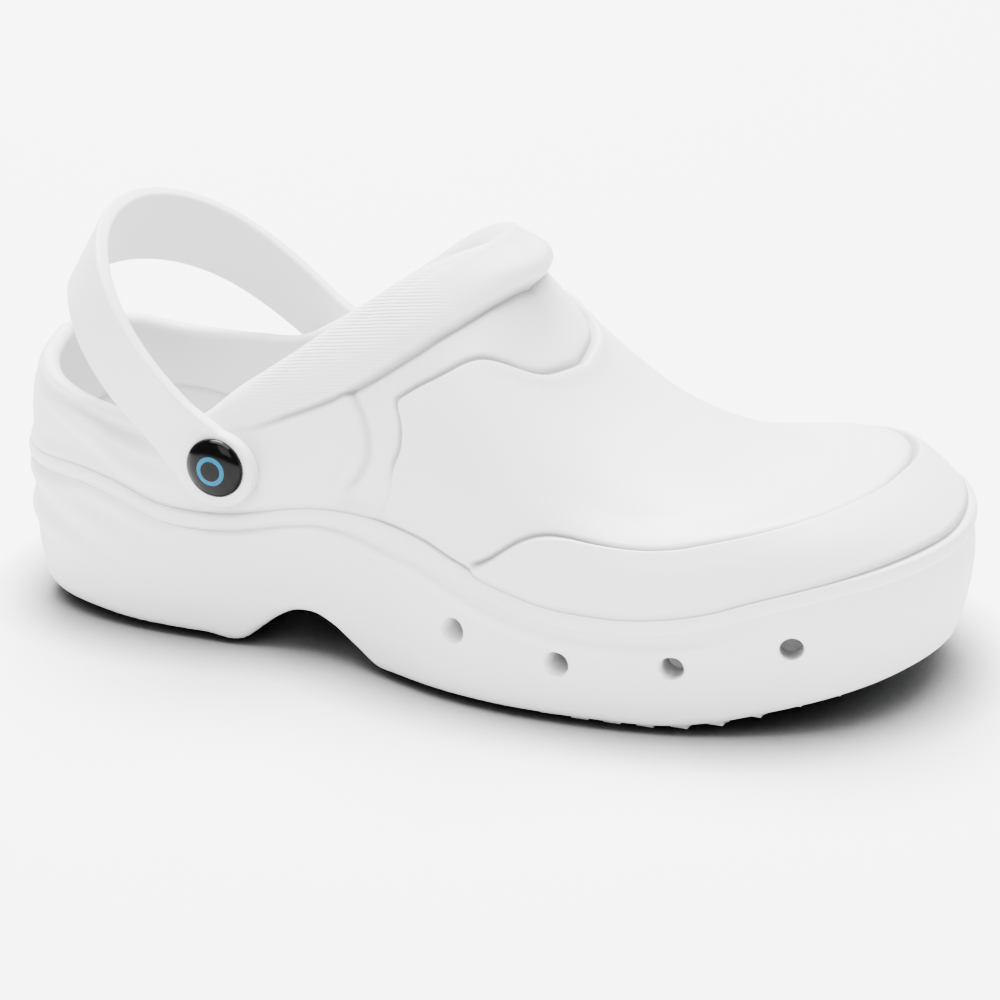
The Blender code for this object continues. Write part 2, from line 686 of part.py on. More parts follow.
def build_strap(half_gap, centre):
    """Heel strap: a band bent in a U, with a round end about each rivet."""
    away, across = strap_frame()
    lines = []
    for near, reach, o, w, up, low in strap_stations(half_gap):
        ring = []
        slide = (PIVOT_INNER - PIVOT_OUTER) * (1 - up) * (near > 0)
        pivot = np.array([PIVOT_OUTER + slide, centre, PIVOT_UP])
        flat_out = away * o[1] + np.array([0, 1, 0]) * o[0]
        lean = STRAP_TWIST * up ** 2.2
        wise = across * math.cos(lean) + flat_out * math.sin(lean)
        thick = flat_out * math.cos(lean) - across * math.sin(lean)
        for a, t in ((-1, -0.6), (-1, 0.6), (-0.93, 1), (0.93, 1), (1, 0.6), (1, -0.6),
                     (0.93, -1), (-0.93, -1)):
            spot = (pivot + away * reach + np.array([0, 1, 0]) * near
                    + thick * t * STRAP_THICK / 2 + wise * (a * w + low))
            ring.append(spot)
        lines.append(np.array(ring))
    count = len(lines)
    mesh = bpy.data.meshes.new("heel_strap")
    faces = []
    for k in range(count - 1):
        for c in range(8):
            d = (c + 1) % 8
            faces.append((k * 8 + c, k * 8 + d, (k + 1) * 8 + d, (k + 1) * 8 + c))
    faces.append(tuple(range(8)))
    faces.append(tuple(reversed(range((count - 1) * 8, count * 8))))
    mesh.from_pydata([tuple(v) for v in np.vstack(lines)], [], faces)
    return place_object("heel_strap", mesh)


def lathe(name, rings, centre, direction, segments=20):
    """Solid of revolution from (radius, height) rows about a direction."""
    bm = bmesh.new()
    turn = Vector(direction).to_track_quat("Z", "Y").to_matrix()
    loops = []
    for radius, height in rings:
        if radius == 0:
            loops.append([bm.verts.new(Vector(centre) + turn @ Vector((0, 0, height)))])
            continue
        loops.append([bm.verts.new(Vector(centre) + turn @ Vector((
            radius * math.cos(2 * math.pi * k / segments),
            radius * math.sin(2 * math.pi * k / segments), height))) for k in range(segments)])
    for a, b in zip(loops, loops[1:]):
        for k in range(segments):
            m = (k + 1) % segments
            if len(a) == 1:
                bm.faces.new((a[0], b[k], b[m]))
            elif len(b) == 1:
                bm.faces.new((a[k], a[m], b[0]))
            else:
                bm.faces.new((a[k], a[m], b[m], b[k]))
    mesh = bpy.data.meshes.new(name)
    bm.to_mesh(mesh)
    bm.free()
    return place_object(name, mesh)


def rivet(name, face, seat, side):
    """Rivet with a domed cap on the strap's face, a shank and a flange inside the wall."""
    cap = CAP_WIDE / 2
    deep = face - seat
    rows = [(0.0, CAP_TALL), (cap * 0.40, CAP_TALL * 0.96), (cap * 0.68, CAP_TALL * 0.80),
            (cap * 0.88, CAP_TALL * 0.48), (cap, CAP_TALL * 0.16), (cap, 0.0),
            (SHANK_WIDE / 2, 0.0), (SHANK_WIDE / 2, -deep), (FLANGE_WIDE / 2, -deep),
            (FLANGE_WIDE / 2, -deep - FLANGE_THICK), (0.0, -deep - FLANGE_THICK)]
    return lathe(name, rows, (PIVOTS[side], side * face, PIVOT_UP), (0, side, 0))


def pivot_marks(last, side):
    """Distances from the middle plane at a pivot: the least and the greatest of the wall's
    outside under the boss, and the one at which a flange clears the wall's inside."""
    place, hand = last.columns(480)
    wall, _ = wall_sections(last, place, hand, 60)
    thick = thickness(place)[:, None]
    marks = []
    for skin_, wide in ((wall, BOSS_WIDE), (wall - outward(wall) * thick, FLANGE_WIDE * 1.1)):
        spots = skin_[:, hand == side].reshape(-1, 3)
        near = np.hypot(spots[:, 0] - PIVOTS[side], spots[:, 2] - PIVOT_UP) < wide / 2
        marks.append(spots[near, 1] * side)
    return marks[0].min(), marks[0].max(), marks[1].min() - 2 * GAP


def settle(objects):
    """Move the finished shoe so that its bounding box is centred on the origin."""
    points = np.vstack([[v.co for v in obj.data.vertices] for obj in objects])
    low, high = points.min(axis=0), points.max(axis=0)
    shift = Vector((-(low[0] + high[0]) / 2, -(low[1] + high[1]) / 2, -low[2]))
    for obj in list(PART.objects) + list(CUTTERS.objects):
        obj.data.transform(Matrix.Translation(shift))


def material(name, colour, roughness, metallic=0.0):
    """Principled material with the given look."""
    made = bpy.data.materials.new(name)
    made.use_nodes = True
    shader = made.node_tree.nodes["Principled BSDF"]
    shader.inputs["Base Color"].default_value = (*colour, 1.0)
    shader.inputs["Roughness"].default_value = roughness
    shader.inputs["Metallic"].default_value = metallic
    return made


def main():
    """Build the whole shoe."""
    last = Last()
    place, side = last.columns(COLUMNS)
    sole = skin("sole", sole_rings(last, place, side), "filled")
    boolean(sole, as_cutter(lugs(last)), "UNION")
    spots = []
    for along, up in VENTS:
        for hand in (-1, 1):
            spot, into = edge_at(last, along * LENGTH, hand)
            spots.append(((spot[0], spot[1], up * HEIGHT), (into[0], into[1], 0.0)))
    boolean(sole, as_cutter(rods("vents", spots, VENT_WIDE, 2 * VENT_DEEP)), "DIFFERENCE")

    upper = skin("upper", upper_rings(last, place, side), "joined")
    marks = {hand: pivot_marks(last, hand) for hand in (-1, 1)}
    face = max(mark[1] for mark in marks.values()) + BOSS_PROUD
    half_gap = face + GAP + STRAP_THICK / 2
    for hand, (least, _, _) in marks.items():
        inside = least - WALL * 0.5
        boss = rods("boss", [((PIVOTS[hand], hand * (face + inside) / 2, PIVOT_UP), (0, 1, 0))],
                    BOSS_WIDE, face - inside)
        boolean(upper, as_cutter(boss), "UNION")
    strap = build_strap(half_gap, 0.0)
    cap_face = half_gap + STRAP_THICK / 2 + GAP
    bore = rods("bores", [((PIVOTS[hand], hand * cap_face, PIVOT_UP), (0, 1, 0))
                          for hand in (-1, 1)], SHANK_WIDE + 2 * GAP,
                2 * (cap_face - min(mark[2] for mark in marks.values()) + GAP))
    as_cutter(bore)
    boolean(upper, bore, "DIFFERENCE")
    boolean(strap, bore, "DIFFERENCE")
    rivets = [rivet("rivet_outer", cap_face, marks[-1][2], -1),
              rivet("rivet_inner", cap_face, marks[1][2], 1)]

    place, side = last.columns(COLUMNS * 3 // 4 // 2 * 2)
    ring = last.point(place, side)
    into = inward(ring)
    rings = []
    for inset, lift in ((0.0200, GAP), (RIM_LAND + INSOLE_CLEAR + 0.0035, GAP),
                        (RIM_LAND + INSOLE_CLEAR, GAP + 0.0010),
                        (RIM_LAND + INSOLE_CLEAR, INSOLE_THICK),
                        (RIM_LAND + INSOLE_CLEAR + 0.0015, INSOLE_THICK + GAP),
                        (0.0200, INSOLE_THICK + GAP)):
        line = ring + into[:, :2] * inset
        rings.append(flat(line, floor_height(line[:, 0]) + lift))
    insole = skin("insole", rings, "filled")

    looks = {
        "sole": material("white_eva_sole", (0.86, 0.86, 0.86), 0.55),
        "upper": material("white_eva_upper", (0.87, 0.87, 0.87), 0.50),
        "insole": material("white_foam", (0.80, 0.80, 0.80), 0.80),
        "heel_strap": material("white_eva_strap", (0.85, 0.85, 0.85), 0.50),
        "rivet_outer": material("black_gloss_outer", (0.012, 0.012, 0.014), 0.12),
        "rivet_inner": material("black_gloss_inner", (0.012, 0.012, 0.014), 0.12),
    }
    solids = (sole, upper, insole, strap, *rivets)
    settle(solids)
    for obj in solids:
        obj.data.materials.clear()
        obj.data.materials.append(looks[obj.name])


for old in list(bpy.data.objects):
    bpy.data.objects.remove(old, do_unlink=True)
PART = bpy.data.collections.new("chef_clog")
CUTTERS = bpy.data.collections.new("cutters")
bpy.context.scene.collection.children.link(PART)
bpy.context.scene.collection.children.link(CUTTERS)

if __name__ == "__main__":
    main()
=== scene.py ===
"""The looks of a moulded chef clog, right foot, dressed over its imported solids.

Metres, +Z up, toe along +X, outer side towards -Y.  Each class makes one piece of the shoe from
named sizes and short tables; shared effects live in shader node groups.
"""

import logging
import math
from dataclasses import dataclass, field
from enum import Enum

import bmesh
import bpy
import numpy as np
from mathutils import Matrix, Vector

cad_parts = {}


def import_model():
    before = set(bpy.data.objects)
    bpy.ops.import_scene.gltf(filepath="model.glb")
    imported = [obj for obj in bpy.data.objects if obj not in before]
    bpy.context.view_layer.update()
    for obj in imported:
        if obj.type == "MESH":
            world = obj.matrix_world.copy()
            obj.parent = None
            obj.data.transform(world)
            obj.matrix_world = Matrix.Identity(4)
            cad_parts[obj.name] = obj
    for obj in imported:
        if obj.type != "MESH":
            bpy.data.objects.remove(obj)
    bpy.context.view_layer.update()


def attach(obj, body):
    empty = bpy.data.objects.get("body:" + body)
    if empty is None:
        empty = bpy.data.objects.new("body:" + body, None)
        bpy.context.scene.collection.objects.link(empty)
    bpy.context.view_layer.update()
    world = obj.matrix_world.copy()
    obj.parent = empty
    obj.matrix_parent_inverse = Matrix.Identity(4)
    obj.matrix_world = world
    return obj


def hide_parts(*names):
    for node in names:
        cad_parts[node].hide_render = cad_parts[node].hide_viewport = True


log = logging.getLogger("chef_clog")
Rows = tuple[tuple[float, ...], ...]


class Side(Enum):
    """Sides of the right foot, with the sign of Y each one has."""

    OUTER = -1
    INNER = 1


class Ends(Enum):
    """How a stack of rings is closed."""

    JOINED = "joined"
    FILLED = "filled"


# Smooth numbers


def tween(rows: Rows, column: int, at: np.ndarray, key: int = 0) -> np.ndarray:
    """Smooth value of a table's column.

    Args:
        rows: the table, one tuple per row.
        column: the column wanted.
        at: places in the key column.
        key: the column that the places are in.

    Returns:
        The values at those places.
    """
    table = np.asarray(rows, float)
    x, y = table[:, key], table[:, column]
    step = np.diff(x)
    rise = np.diff(y) / step
    slope = np.zeros_like(y)
    slope[1:-1] = (rise[:-1] * step[1:] + rise[1:] * step[:-1]) / (step[1:] + step[:-1])
    slope[1:-1][rise[:-1] * rise[1:] <= 0.0] *= 0.25
    at = np.clip(np.asarray(at, float), x[0], x[-1])
    i = np.clip(np.searchsorted(x, at, side="right") - 1, 0, len(x) - 2)
    h = step[i]
    t = (at - x[i]) / h
    a = y[i] * (1 + 2 * t) * (1 - t) ** 2 + y[i + 1] * t * t * (3 - 2 * t)
    return a + h * (slope[i] * t * (1 - t) ** 2 - slope[i + 1] * t * t * (1 - t))


def ease(value: np.ndarray, start: float, stop: float) -> np.ndarray:
    """Nought before start, one after stop, smooth between."""
    t = np.clip((value - start) / (stop - start), 0.0, 1.0)
    return t * t * (3 - 2 * t)


def hump(distance: np.ndarray, wide: float) -> np.ndarray:
    """Soft bell: one at the middle, nought at plus or minus wide."""
    t = np.clip(np.abs(distance) / wide, 0, 1)
    return (1 - t * t) ** 2


def dome(distance: np.ndarray, wide: float) -> np.ndarray:
    """Half-round: one at the middle, nought at plus or minus half of wide."""
    t = np.clip(np.abs(distance) / (wide / 2), 0, 1)
    return np.sqrt(1 - t * t)


def closed_spline(points: np.ndarray, count: int) -> np.ndarray:
    """Periodic cubic curve through points, with count steps to each span."""
    pts = np.asarray(points, float)
    n = len(pts)
    seg = np.linalg.norm(np.roll(pts, -1, 0) - pts, axis=1) ** 0.75
    before = np.roll(seg, 1)
    system, right = np.zeros((n, n)), np.zeros_like(pts)
    for k in range(n):
        system[k, k - 1] += seg[k]
        system[k, k] += 2 * (seg[k] + before[k])
        system[k, (k + 1) % n] += before[k]
        ahead = (pts[(k + 1) % n] - pts[k]) / seg[k]
        behind = (pts[k] - pts[k - 1]) / before[k]
        right[k] = 3 * (seg[k] * behind + before[k] * ahead)
    tangent = np.linalg.solve(system, right)
    t = np.linspace(0, 1, count, endpoint=False)[:, None]
    out = [pts[k] * (1 + 2 * t) * (1 - t) ** 2 + pts[(k + 1) % n] * t * t * (3 - 2 * t)
           + seg[k] * (tangent[k] * t * (1 - t) ** 2 - tangent[(k + 1) % n] * t * t * (1 - t))
           for k in range(n)]
    return np.vstack(out)


def open_spline(knots: np.ndarray, fine: int) -> np.ndarray:
    """Natural cubic curves through rows of knots, for many columns at once."""
    n, columns = knots.shape[:2]
    seg = np.linalg.norm(np.diff(knots, axis=0), axis=2) ** 0.6
    system, right = np.zeros((columns, n, n)), np.zeros((columns, n, 3))
    chord = np.diff(knots, axis=0) / seg[:, :, None]
    for k in range(n):
        if k > 0:
            system[:, k, k - 1] += 1 / seg[k - 1]
            system[:, k, k] += 2 / seg[k - 1]
            right[:, k] += 3 * chord[k - 1] / seg[k - 1][:, None]
        if k < n - 1:
            system[:, k, k + 1] += 1 / seg[k]
            system[:, k, k] += 2 / seg[k]
            right[:, k] += 3 * chord[k] / seg[k][:, None]
    tangent = np.linalg.solve(system, right)
    total = np.vstack([np.zeros(columns), np.cumsum(seg, axis=0)])
    out = np.empty((fine, columns, 3))
    c = np.arange(columns)
    for row, share in enumerate(np.linspace(0, 1, fine)):
        at = share * total[-1]
        k = np.clip((total[1:] < at - 1e-12).sum(axis=0), 0, n - 2)
        h = seg[k, c][:, None]
        t = ((at - total[k, c]) / seg[k, c])[:, None]
        a, b = knots[k, c], knots[k + 1, c]
        out[row] = (a * (1 + 2 * t) * (1 - t) ** 2 + b * t * t * (3 - 2 * t)
                    + h * (tangent[c, k] * t * (1 - t) ** 2 - tangent[c, k + 1] * t * t * (1 - t)))
    return out


# The shoe's own sizes and surfaces


@dataclass(frozen=True)
class Sizes:
    """Main sizes of the shoe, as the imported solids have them."""

    length: float = 0.2835
    half_breadth: float = 0.055
    height: float = 0.118
    wall: float = 0.0034
    heel_wall: float = 0.0056
    gap: float = 0.0003
    rim_land: float = 0.0052
    bead_proud: float = 0.0012
    bead_tall: float = 0.0042
    roll_wide: float = 0.0158
    roll_proud: float = 0.0036
    band_proud: float = 0.0012
    yoke_deep: float = 0.00115
    step_run: float = 0.0007
    floor_heel: float = 0.0200
    floor_ball: float = 0.0095
    pivot_outer: float = 0.0780
    pivot_inner: float = 0.0850
    pivot_up: float = 0.0580
    half_gap: float = 0.0430
    shift: tuple[float, float, float] = (-0.14142, 0.00244, 0.0)


SIZES = Sizes()

OUTLINE: Rows = (
    # along, outer, inner
    (0.000, 0.000, 0.000), (0.003, 0.182, 0.182), (0.013, 0.364, 0.355), (0.043, 0.545, 0.530),
    (0.106, 0.673, 0.655), (0.176, 0.716, 0.694), (0.264, 0.727, 0.698), (0.353, 0.740, 0.690),
    (0.440, 0.785, 0.700), (0.529, 0.882, 0.764), (0.618, 0.964, 0.847), (0.681, 0.996, 0.905),
    (0.733, 1.004, 0.938), (0.783, 0.993, 0.948), (0.836, 0.949, 0.924), (0.883, 0.876, 0.867),
    (0.920, 0.782, 0.780), (0.952, 0.645, 0.635), (0.975, 0.482, 0.455), (0.991, 0.290, 0.245),
    (0.998, 0.110, 0.060),
)
SOLE: Rows = (
    # along, bead, under, out_outer, out_inner, round
    (0.000, 0.415, 0.017, 0.000, 0.000, 0.090), (0.050, 0.417, 0.017, 0.000, 0.000, 0.080),
    (0.101, 0.416, 0.017, 0.000, 0.000, 0.065), (0.142, 0.395, 0.017, 0.000, 0.000, 0.045),
    (0.192, 0.352, 0.017, 0.000, 0.000, 0.035), (0.233, 0.344, 0.017, 0.000, 0.000, 0.034),
    (0.281, 0.352, 0.020, 0.000, -0.002, 0.034), (0.296, 0.359, 0.048, 0.000, -0.006, 0.034),
    (0.319, 0.371, 0.090, 0.001, -0.010, 0.034), (0.339, 0.382, 0.114, 0.003, -0.012, 0.034),
    (0.360, 0.392, 0.119, 0.005, -0.012, 0.034), (0.385, 0.399, 0.100, 0.010, -0.010, 0.034),
    (0.415, 0.401, 0.055, 0.018, -0.005, 0.034), (0.440, 0.397, 0.020, 0.026, 0.000, 0.034),
    (0.461, 0.390, 0.017, 0.034, 0.003, 0.034), (0.496, 0.373, 0.017, 0.046, 0.008, 0.034),
    (0.541, 0.334, 0.017, 0.052, 0.012, 0.034), (0.587, 0.302, 0.017, 0.050, 0.014, 0.034),
    (0.637, 0.280, 0.017, 0.040, 0.013, 0.034), (0.699, 0.277, 0.017, 0.026, 0.010, 0.034),
    (0.759, 0.292, 0.018, 0.010, 0.004, 0.034), (0.810, 0.320, 0.034, -0.004, -0.006, 0.034),
    (0.850, 0.352, 0.054, -0.012, -0.013, 0.036), (0.894, 0.380, 0.077, -0.018, -0.020, 0.038),
    (0.937, 0.400, 0.100, -0.018, -0.021, 0.040), (0.974, 0.410, 0.118, -0.016, -0.019, 0.042),
    (1.000, 0.412, 0.128, -0.014, -0.017, 0.044),
)
COLLAR: Rows = (
    # round, along, side, up
    (0.000, 0.013, 0.000, 0.640), (0.061, 0.027, 0.320, 0.623), (0.100, 0.051, 0.480, 0.602),
    (0.158, 0.109, 0.600, 0.568), (0.217, 0.178, 0.660, 0.552), (0.270, 0.236, 0.672, 0.560),
    (0.320, 0.282, 0.660, 0.610), (0.380, 0.330, 0.618, 0.686), (0.450, 0.376, 0.555, 0.763),
    (0.530, 0.423, 0.482, 0.843), (0.620, 0.469, 0.373, 0.924), (0.720, 0.504, 0.255, 0.975),
    (0.840, 0.522, 0.133, 0.997), (1.000, 0.527, 0.000, 1.000),
)
INWARD = (0.04, 0.14, 0.40, 0.70, 0.85)
SECTION: Rows = (
    # round, and the share of the rise reached at each inward share
    (0.000, 0.30, 0.52, 0.74, 0.89, 0.95), (0.300, 0.26, 0.50, 0.72, 0.88, 0.94),
    (0.440, 0.24, 0.45, 0.70, 0.87, 0.94), (0.520, 0.215, 0.400, 0.675, 0.865, 0.935),
    (0.600, 0.170, 0.320, 0.600, 0.845, 0.925), (0.660, 0.130, 0.240, 0.480, 0.770, 0.895),
    (0.720, 0.108, 0.190, 0.365, 0.655, 0.845), (0.780, 0.098, 0.175, 0.285, 0.535, 0.765),
    (0.840, 0.090, 0.172, 0.232, 0.436, 0.688), (0.900, 0.083, 0.170, 0.215, 0.378, 0.628),
    (1.000, 0.076, 0.168, 0.208, 0.342, 0.592),
)
OVERLAYS: Rows = (
    # round, band_outer, band_inner, band_on, yoke, roll
    (0.000, 0.045, 0.045, 0.0, 0.045, 0.25), (0.220, 0.045, 0.045, 0.0, 0.040, 0.24),
    (0.310, 0.045, 0.045, 0.0, 0.035, 0.34), (0.360, 0.045, 0.045, 0.0, 0.045, 0.50),
    (0.405, 0.045, 0.045, 0.0, 0.060, 0.68), (0.450, 0.045, 0.045, 0.0, 0.072, 0.84),
    (0.480, 0.020, 0.020, 0.0, 0.080, 0.90), (0.538, 0.004, 0.004, 0.0, 0.080, 0.96),
    (0.548, 0.016, 0.016, 1.0, 0.081, 0.97),
    (0.575, 0.090, 0.085, 1.0, 0.088, 1.00), (0.600, 0.145, 0.130, 1.0, 0.092, 1.00),
    (0.632, 0.184, 0.160, 1.0, 0.093, 1.00), (0.668, 0.192, 0.168, 1.0, 0.107, 0.98),
    (0.716, 0.182, 0.158, 1.0, 0.141, 0.95), (0.760, 0.170, 0.143, 1.0, 0.174, 0.93),
    (0.815, 0.160, 0.125, 1.0, 0.197, 0.92), (0.870, 0.168, 0.118, 1.0, 0.204, 0.92),
    (0.930, 0.183, 0.145, 1.0, 0.208, 0.94), (1.000, 0.186, 0.186, 1.0, 0.210, 0.97),
)
CHANNEL: Rows = (
    # low, rear, front
    (0.000, 0.409, 0.449), (0.050, 0.413, 0.455), (0.100, 0.428, 0.463), (0.160, 0.442, 0.472),
    (0.210, 0.448, 0.484), (0.280, 0.452, 0.496), (0.400, 0.452, 0.503),
)
VENTS: Rows = (
    # along, up
    (0.545, 0.190), (0.657, 0.159), (0.773, 0.182), (0.883, 0.238),
)
# How far the top of the vamp settles between the roll and the toe, in metres
SETTLE: Rows = (
    # along, drop
    (0.540, 0.0000), (0.575, 0.0013), (0.630, 0.0019), (0.680, 0.0033), (0.740, 0.0043),
    (0.785, 0.0052), (0.830, 0.0050), (0.870, 0.0038), (0.930, 0.0026), (1.000, 0.0020),
)
CROWD: Rows = (
    # round, weight
    (0.000, 1.1), (0.250, 1.0), (0.390, 1.2), (0.420, 2.0), (0.510, 2.0), (0.550, 1.6),
    (0.640, 1.1), (0.850, 0.9), (1.000, 1.0),
)
# Moulded waves round both sides of the heel, their heights as shares of the shoe's height
WAVES: Rows = (
    # round, ridge, trough, strength
    (0.000, 0.560, 0.600, 0.10), (0.090, 0.575, 0.590, 0.25), (0.131, 0.547, 0.568, 0.75),
    (0.153, 0.520, 0.552, 1.00), (0.171, 0.500, 0.540, 1.00), (0.191, 0.449, 0.528, 1.00),
    (0.208, 0.425, 0.515, 0.90), (0.240, 0.400, 0.500, 0.35), (0.290, 0.390, 0.500, 0.00),
)


class Last:
    """The plan line round the foot, with a place, a side and an inward direction per column."""

    def __init__(self) -> None:
        rows = np.asarray(OUTLINE)
        outer = np.c_[rows[:, 0] * SIZES.length, -rows[:, 1] * SIZES.half_breadth]
        inner = np.c_[rows[:, 0] * SIZES.length, rows[:, 2] * SIZES.half_breadth]
        curve = closed_spline(np.vstack([outer, inner[-2:0:-1]]), 60)
        toe = int(np.argmax(curve[:, 0]))
        self.sides = (curve[:toe + 1], np.vstack([curve[toe:], curve[:1]])[::-1])
        self.lengths = tuple(
            np.r_[0, np.cumsum(np.linalg.norm(np.diff(line, axis=0), axis=1))]
            for line in self.sides)

    def columns(self, count: int) -> tuple[np.ndarray, np.ndarray]:
        """Signed places round the foot.

        Args:
            count: how many columns.

        Returns:
            The places, nought at the heel and one at the toe, and each column's side.
        """
        half = count // 2
        fine = np.linspace(0, 1, 801)
        weight = tween(CROWD, 1, fine)
        total = np.r_[0, np.cumsum((weight[1:] + weight[:-1]) / 2)]
        place = np.interp(np.linspace(0, 1, half + 1), total / total[-1], fine)
        return (np.r_[place, place[-2:0:-1]],
                np.r_[-np.ones(half + 1), np.ones(half - 1)])

    def point(self, place: np.ndarray, side: np.ndarray) -> np.ndarray:
        """Plan points of the bead line."""
        both = []
        for k in (0, 1):
            length = self.lengths[k]
            at = np.asarray(place) * length[-1]
            both.append(np.c_[np.interp(at, length, self.sides[k][:, 0]),
                              np.interp(at, length, self.sides[k][:, 1])])
        return np.where(np.asarray(side)[:, None] < 0, both[0], both[1])

    def edge(self, along: float, side: int) -> tuple[np.ndarray, np.ndarray]:
        """Plan point of the bead line and its inward direction at a distance from the heel."""
        place = np.linspace(0, 1, 801)
        line = self.point(place, np.full(801, float(side)))
        k = int(np.argmin(np.abs(line[:, 0] - along) + (place < 0.02) * 1.0))
        step = line[min(k + 2, 800)] - line[max(k - 2, 0)]
        step /= np.linalg.norm(step)
        return line[k], np.array([-step[1], step[0]]) * (1 if side < 0 else -1)


def inward(loop: np.ndarray) -> np.ndarray:
    """Unit plan directions pointing into a closed loop that runs heel, outer side, toe."""
    ahead = np.roll(loop, -1, 0) - np.roll(loop, 1, 0)
    ahead = ahead[:, :2] / np.linalg.norm(ahead[:, :2], axis=1)[:, None]
    return np.c_[-ahead[:, 1], ahead[:, 0], np.zeros(len(loop))]


def flat(points: np.ndarray, height: np.ndarray | float) -> np.ndarray:
    """Plan points lifted to a height."""
    return np.c_[points[:, :2], np.broadcast_to(height, len(points))]


def under(along: np.ndarray) -> np.ndarray:
    """Height of the sole's underside above the ground."""
    return tween(SOLE, 2, along / SIZES.length) * SIZES.height


def bead_height(along: np.ndarray) -> np.ndarray:
    """Height of the bead at the top of the sole."""
    return tween(SOLE, 1, along / SIZES.length) * SIZES.height


def floor_height(along: np.ndarray) -> np.ndarray:
    """Height of the foot-bed inside the sole."""
    at = along / SIZES.length
    return SIZES.floor_heel + (SIZES.floor_ball - SIZES.floor_heel) * ease(at, 0.22, 0.62) \
        + 0.010 * ease(at, 0.80, 1.06) ** 1.2


def outward(grid: np.ndarray) -> np.ndarray:
    """Outward unit normals of a grid of rings that rises from the bead to the collar."""
    around = np.roll(grid, -1, 1) - np.roll(grid, 1, 1)
    normal = np.cross(around, np.gradient(grid, axis=0))
    return normal / np.linalg.norm(normal, axis=2)[:, :, None]


def blend_rows(marks: list[np.ndarray], counts: tuple[int, ...]) -> np.ndarray:
    """Rows spread evenly between neighbouring marks, with the given number of steps."""
    rows = [marks[0]]
    for a, b, n in zip(marks, marks[1:], counts):
        rows += [a + (b - a) * k / n for k in range(1, n + 1)]
    return np.stack(rows)


# Meshes


def put(name: str, data: bpy.types.ID) -> bpy.types.Object:
    """New object of a mesh, a light or a camera, linked to the scene."""
    obj = bpy.data.objects.new(name, data)
    bpy.context.scene.collection.objects.link(obj)
    return obj


def to_object(name: str, verts: np.ndarray, faces: list[tuple[int, ...]]) -> bpy.types.Object:
    """Smooth-shaded object for vertices and faces, moved to the shoe's place in the scene."""
    mesh = bpy.data.meshes.new(name)
    mesh.from_pydata((verts + np.array(SIZES.shift)).tolist(), [], faces)
    mesh.validate()
    bm = bmesh.new()
    bm.from_mesh(mesh)
    bmesh.ops.recalc_face_normals(bm, faces=bm.faces)
    bm.to_mesh(mesh)
    bm.free()
    mesh.polygons.foreach_set("use_smooth", [True] * len(mesh.polygons))
    return put(name, mesh)


def skin_faces(rings: int, count: int, ends: Ends) -> list[tuple[int, ...]]:
    """Faces of a stack of rings."""
    faces = []
    for k in range(rings if ends is Ends.JOINED else rings - 1):
        a, b = k * count, ((k + 1) % rings) * count
        faces += [(a + c, a + (c + 1) % count, b + (c + 1) % count, b + c) for c in range(count)]
    if ends is Ends.FILLED:
        for start, flip in ((0, True), ((rings - 1) * count, False)):
            for c in range(count // 2):
                quad = tuple(dict.fromkeys((start + c, start + c + 1,
                                            start + (count - c - 1) % count,
                                            start + (count - c) % count)))
                faces.append(quad[::-1] if flip else quad)
    return faces


def mark(obj: bpy.types.Object, name: str, values: np.ndarray) -> None:
    """Float attribute on an object's vertices."""
    layer = obj.data.attributes.new(name, "FLOAT", "POINT")
    layer.data.foreach_set("value", np.asarray(values, np.float32))


def lathe(name: str, rows: list[tuple[float, float]], centre: Vector, direction: Vector,
          segments: int = 72) -> bpy.types.Object:
    """Solid of revolution from (radius, height) rows about a direction."""
    turn = direction.to_track_quat("Z", "Y").to_matrix()
    verts, faces, loops = [], [], []
    for radius, height in rows:
        n = 1 if radius == 0 else segments
        loops.append(range(len(verts), len(verts) + n))
        verts += [tuple(centre + turn @ Vector((radius * math.cos(2 * math.pi * k / segments),
                                                radius * math.sin(2 * math.pi * k / segments),
                                                height))) for k in range(n)]
    for a, b in zip(loops, loops[1:]):
        for k in range(segments):
            m = (k + 1) % segments
            if len(a) == 1:
                faces.append((a[0], b[k], b[m]))
            elif len(b) == 1:
                faces.append((a[k], a[m], b[0]))
            else:
                faces.append((a[k], a[m], b[m], b[k]))
    return to_object(name, np.array(verts), faces)


def join(target: bpy.types.Object, others: list[bpy.types.Object]) -> None:
    """Merge other objects' meshes into the target."""
    bm = bmesh.new()
    for obj in (target, *others):
        bm.from_mesh(obj.data)
    bm.to_mesh(target.data)
    bm.free()
    for obj in others:
        bpy.data.objects.remove(obj, do_unlink=True)


# Materials


def shader_group(name: str, inputs: dict[str, tuple[str, float]],
                 outputs: dict[str, str]) -> bpy.types.NodeTree:
    """Empty shader node group with named sockets."""
    tree = bpy.data.node_groups.new(name, "ShaderNodeTree")
    for label, (kind, value) in inputs.items():
        tree.interface.new_socket(label, in_out="INPUT", socket_type=kind).default_value = value
    for label, kind in outputs.items():
        tree.interface.new_socket(label, in_out="OUTPUT", socket_type=kind)
    tree.nodes.new("NodeGroupInput").name = "in"
    tree.nodes.new("NodeGroupOutput").name = "out"
    return tree


def noise(tree: bpy.types.NodeTree, scale: float, detail: float) -> bpy.types.Node:
    """Noise texture on object coordinates."""
    coords = tree.nodes.get("coords") or tree.nodes.new("ShaderNodeTexCoord")
    coords.name = "coords"
    node = tree.nodes.new("ShaderNodeTexNoise")
    node.inputs["Scale"].default_value = scale
    node.inputs["Detail"].default_value = detail
    tree.links.new(coords.outputs["Object"], node.inputs["Vector"])
    return node


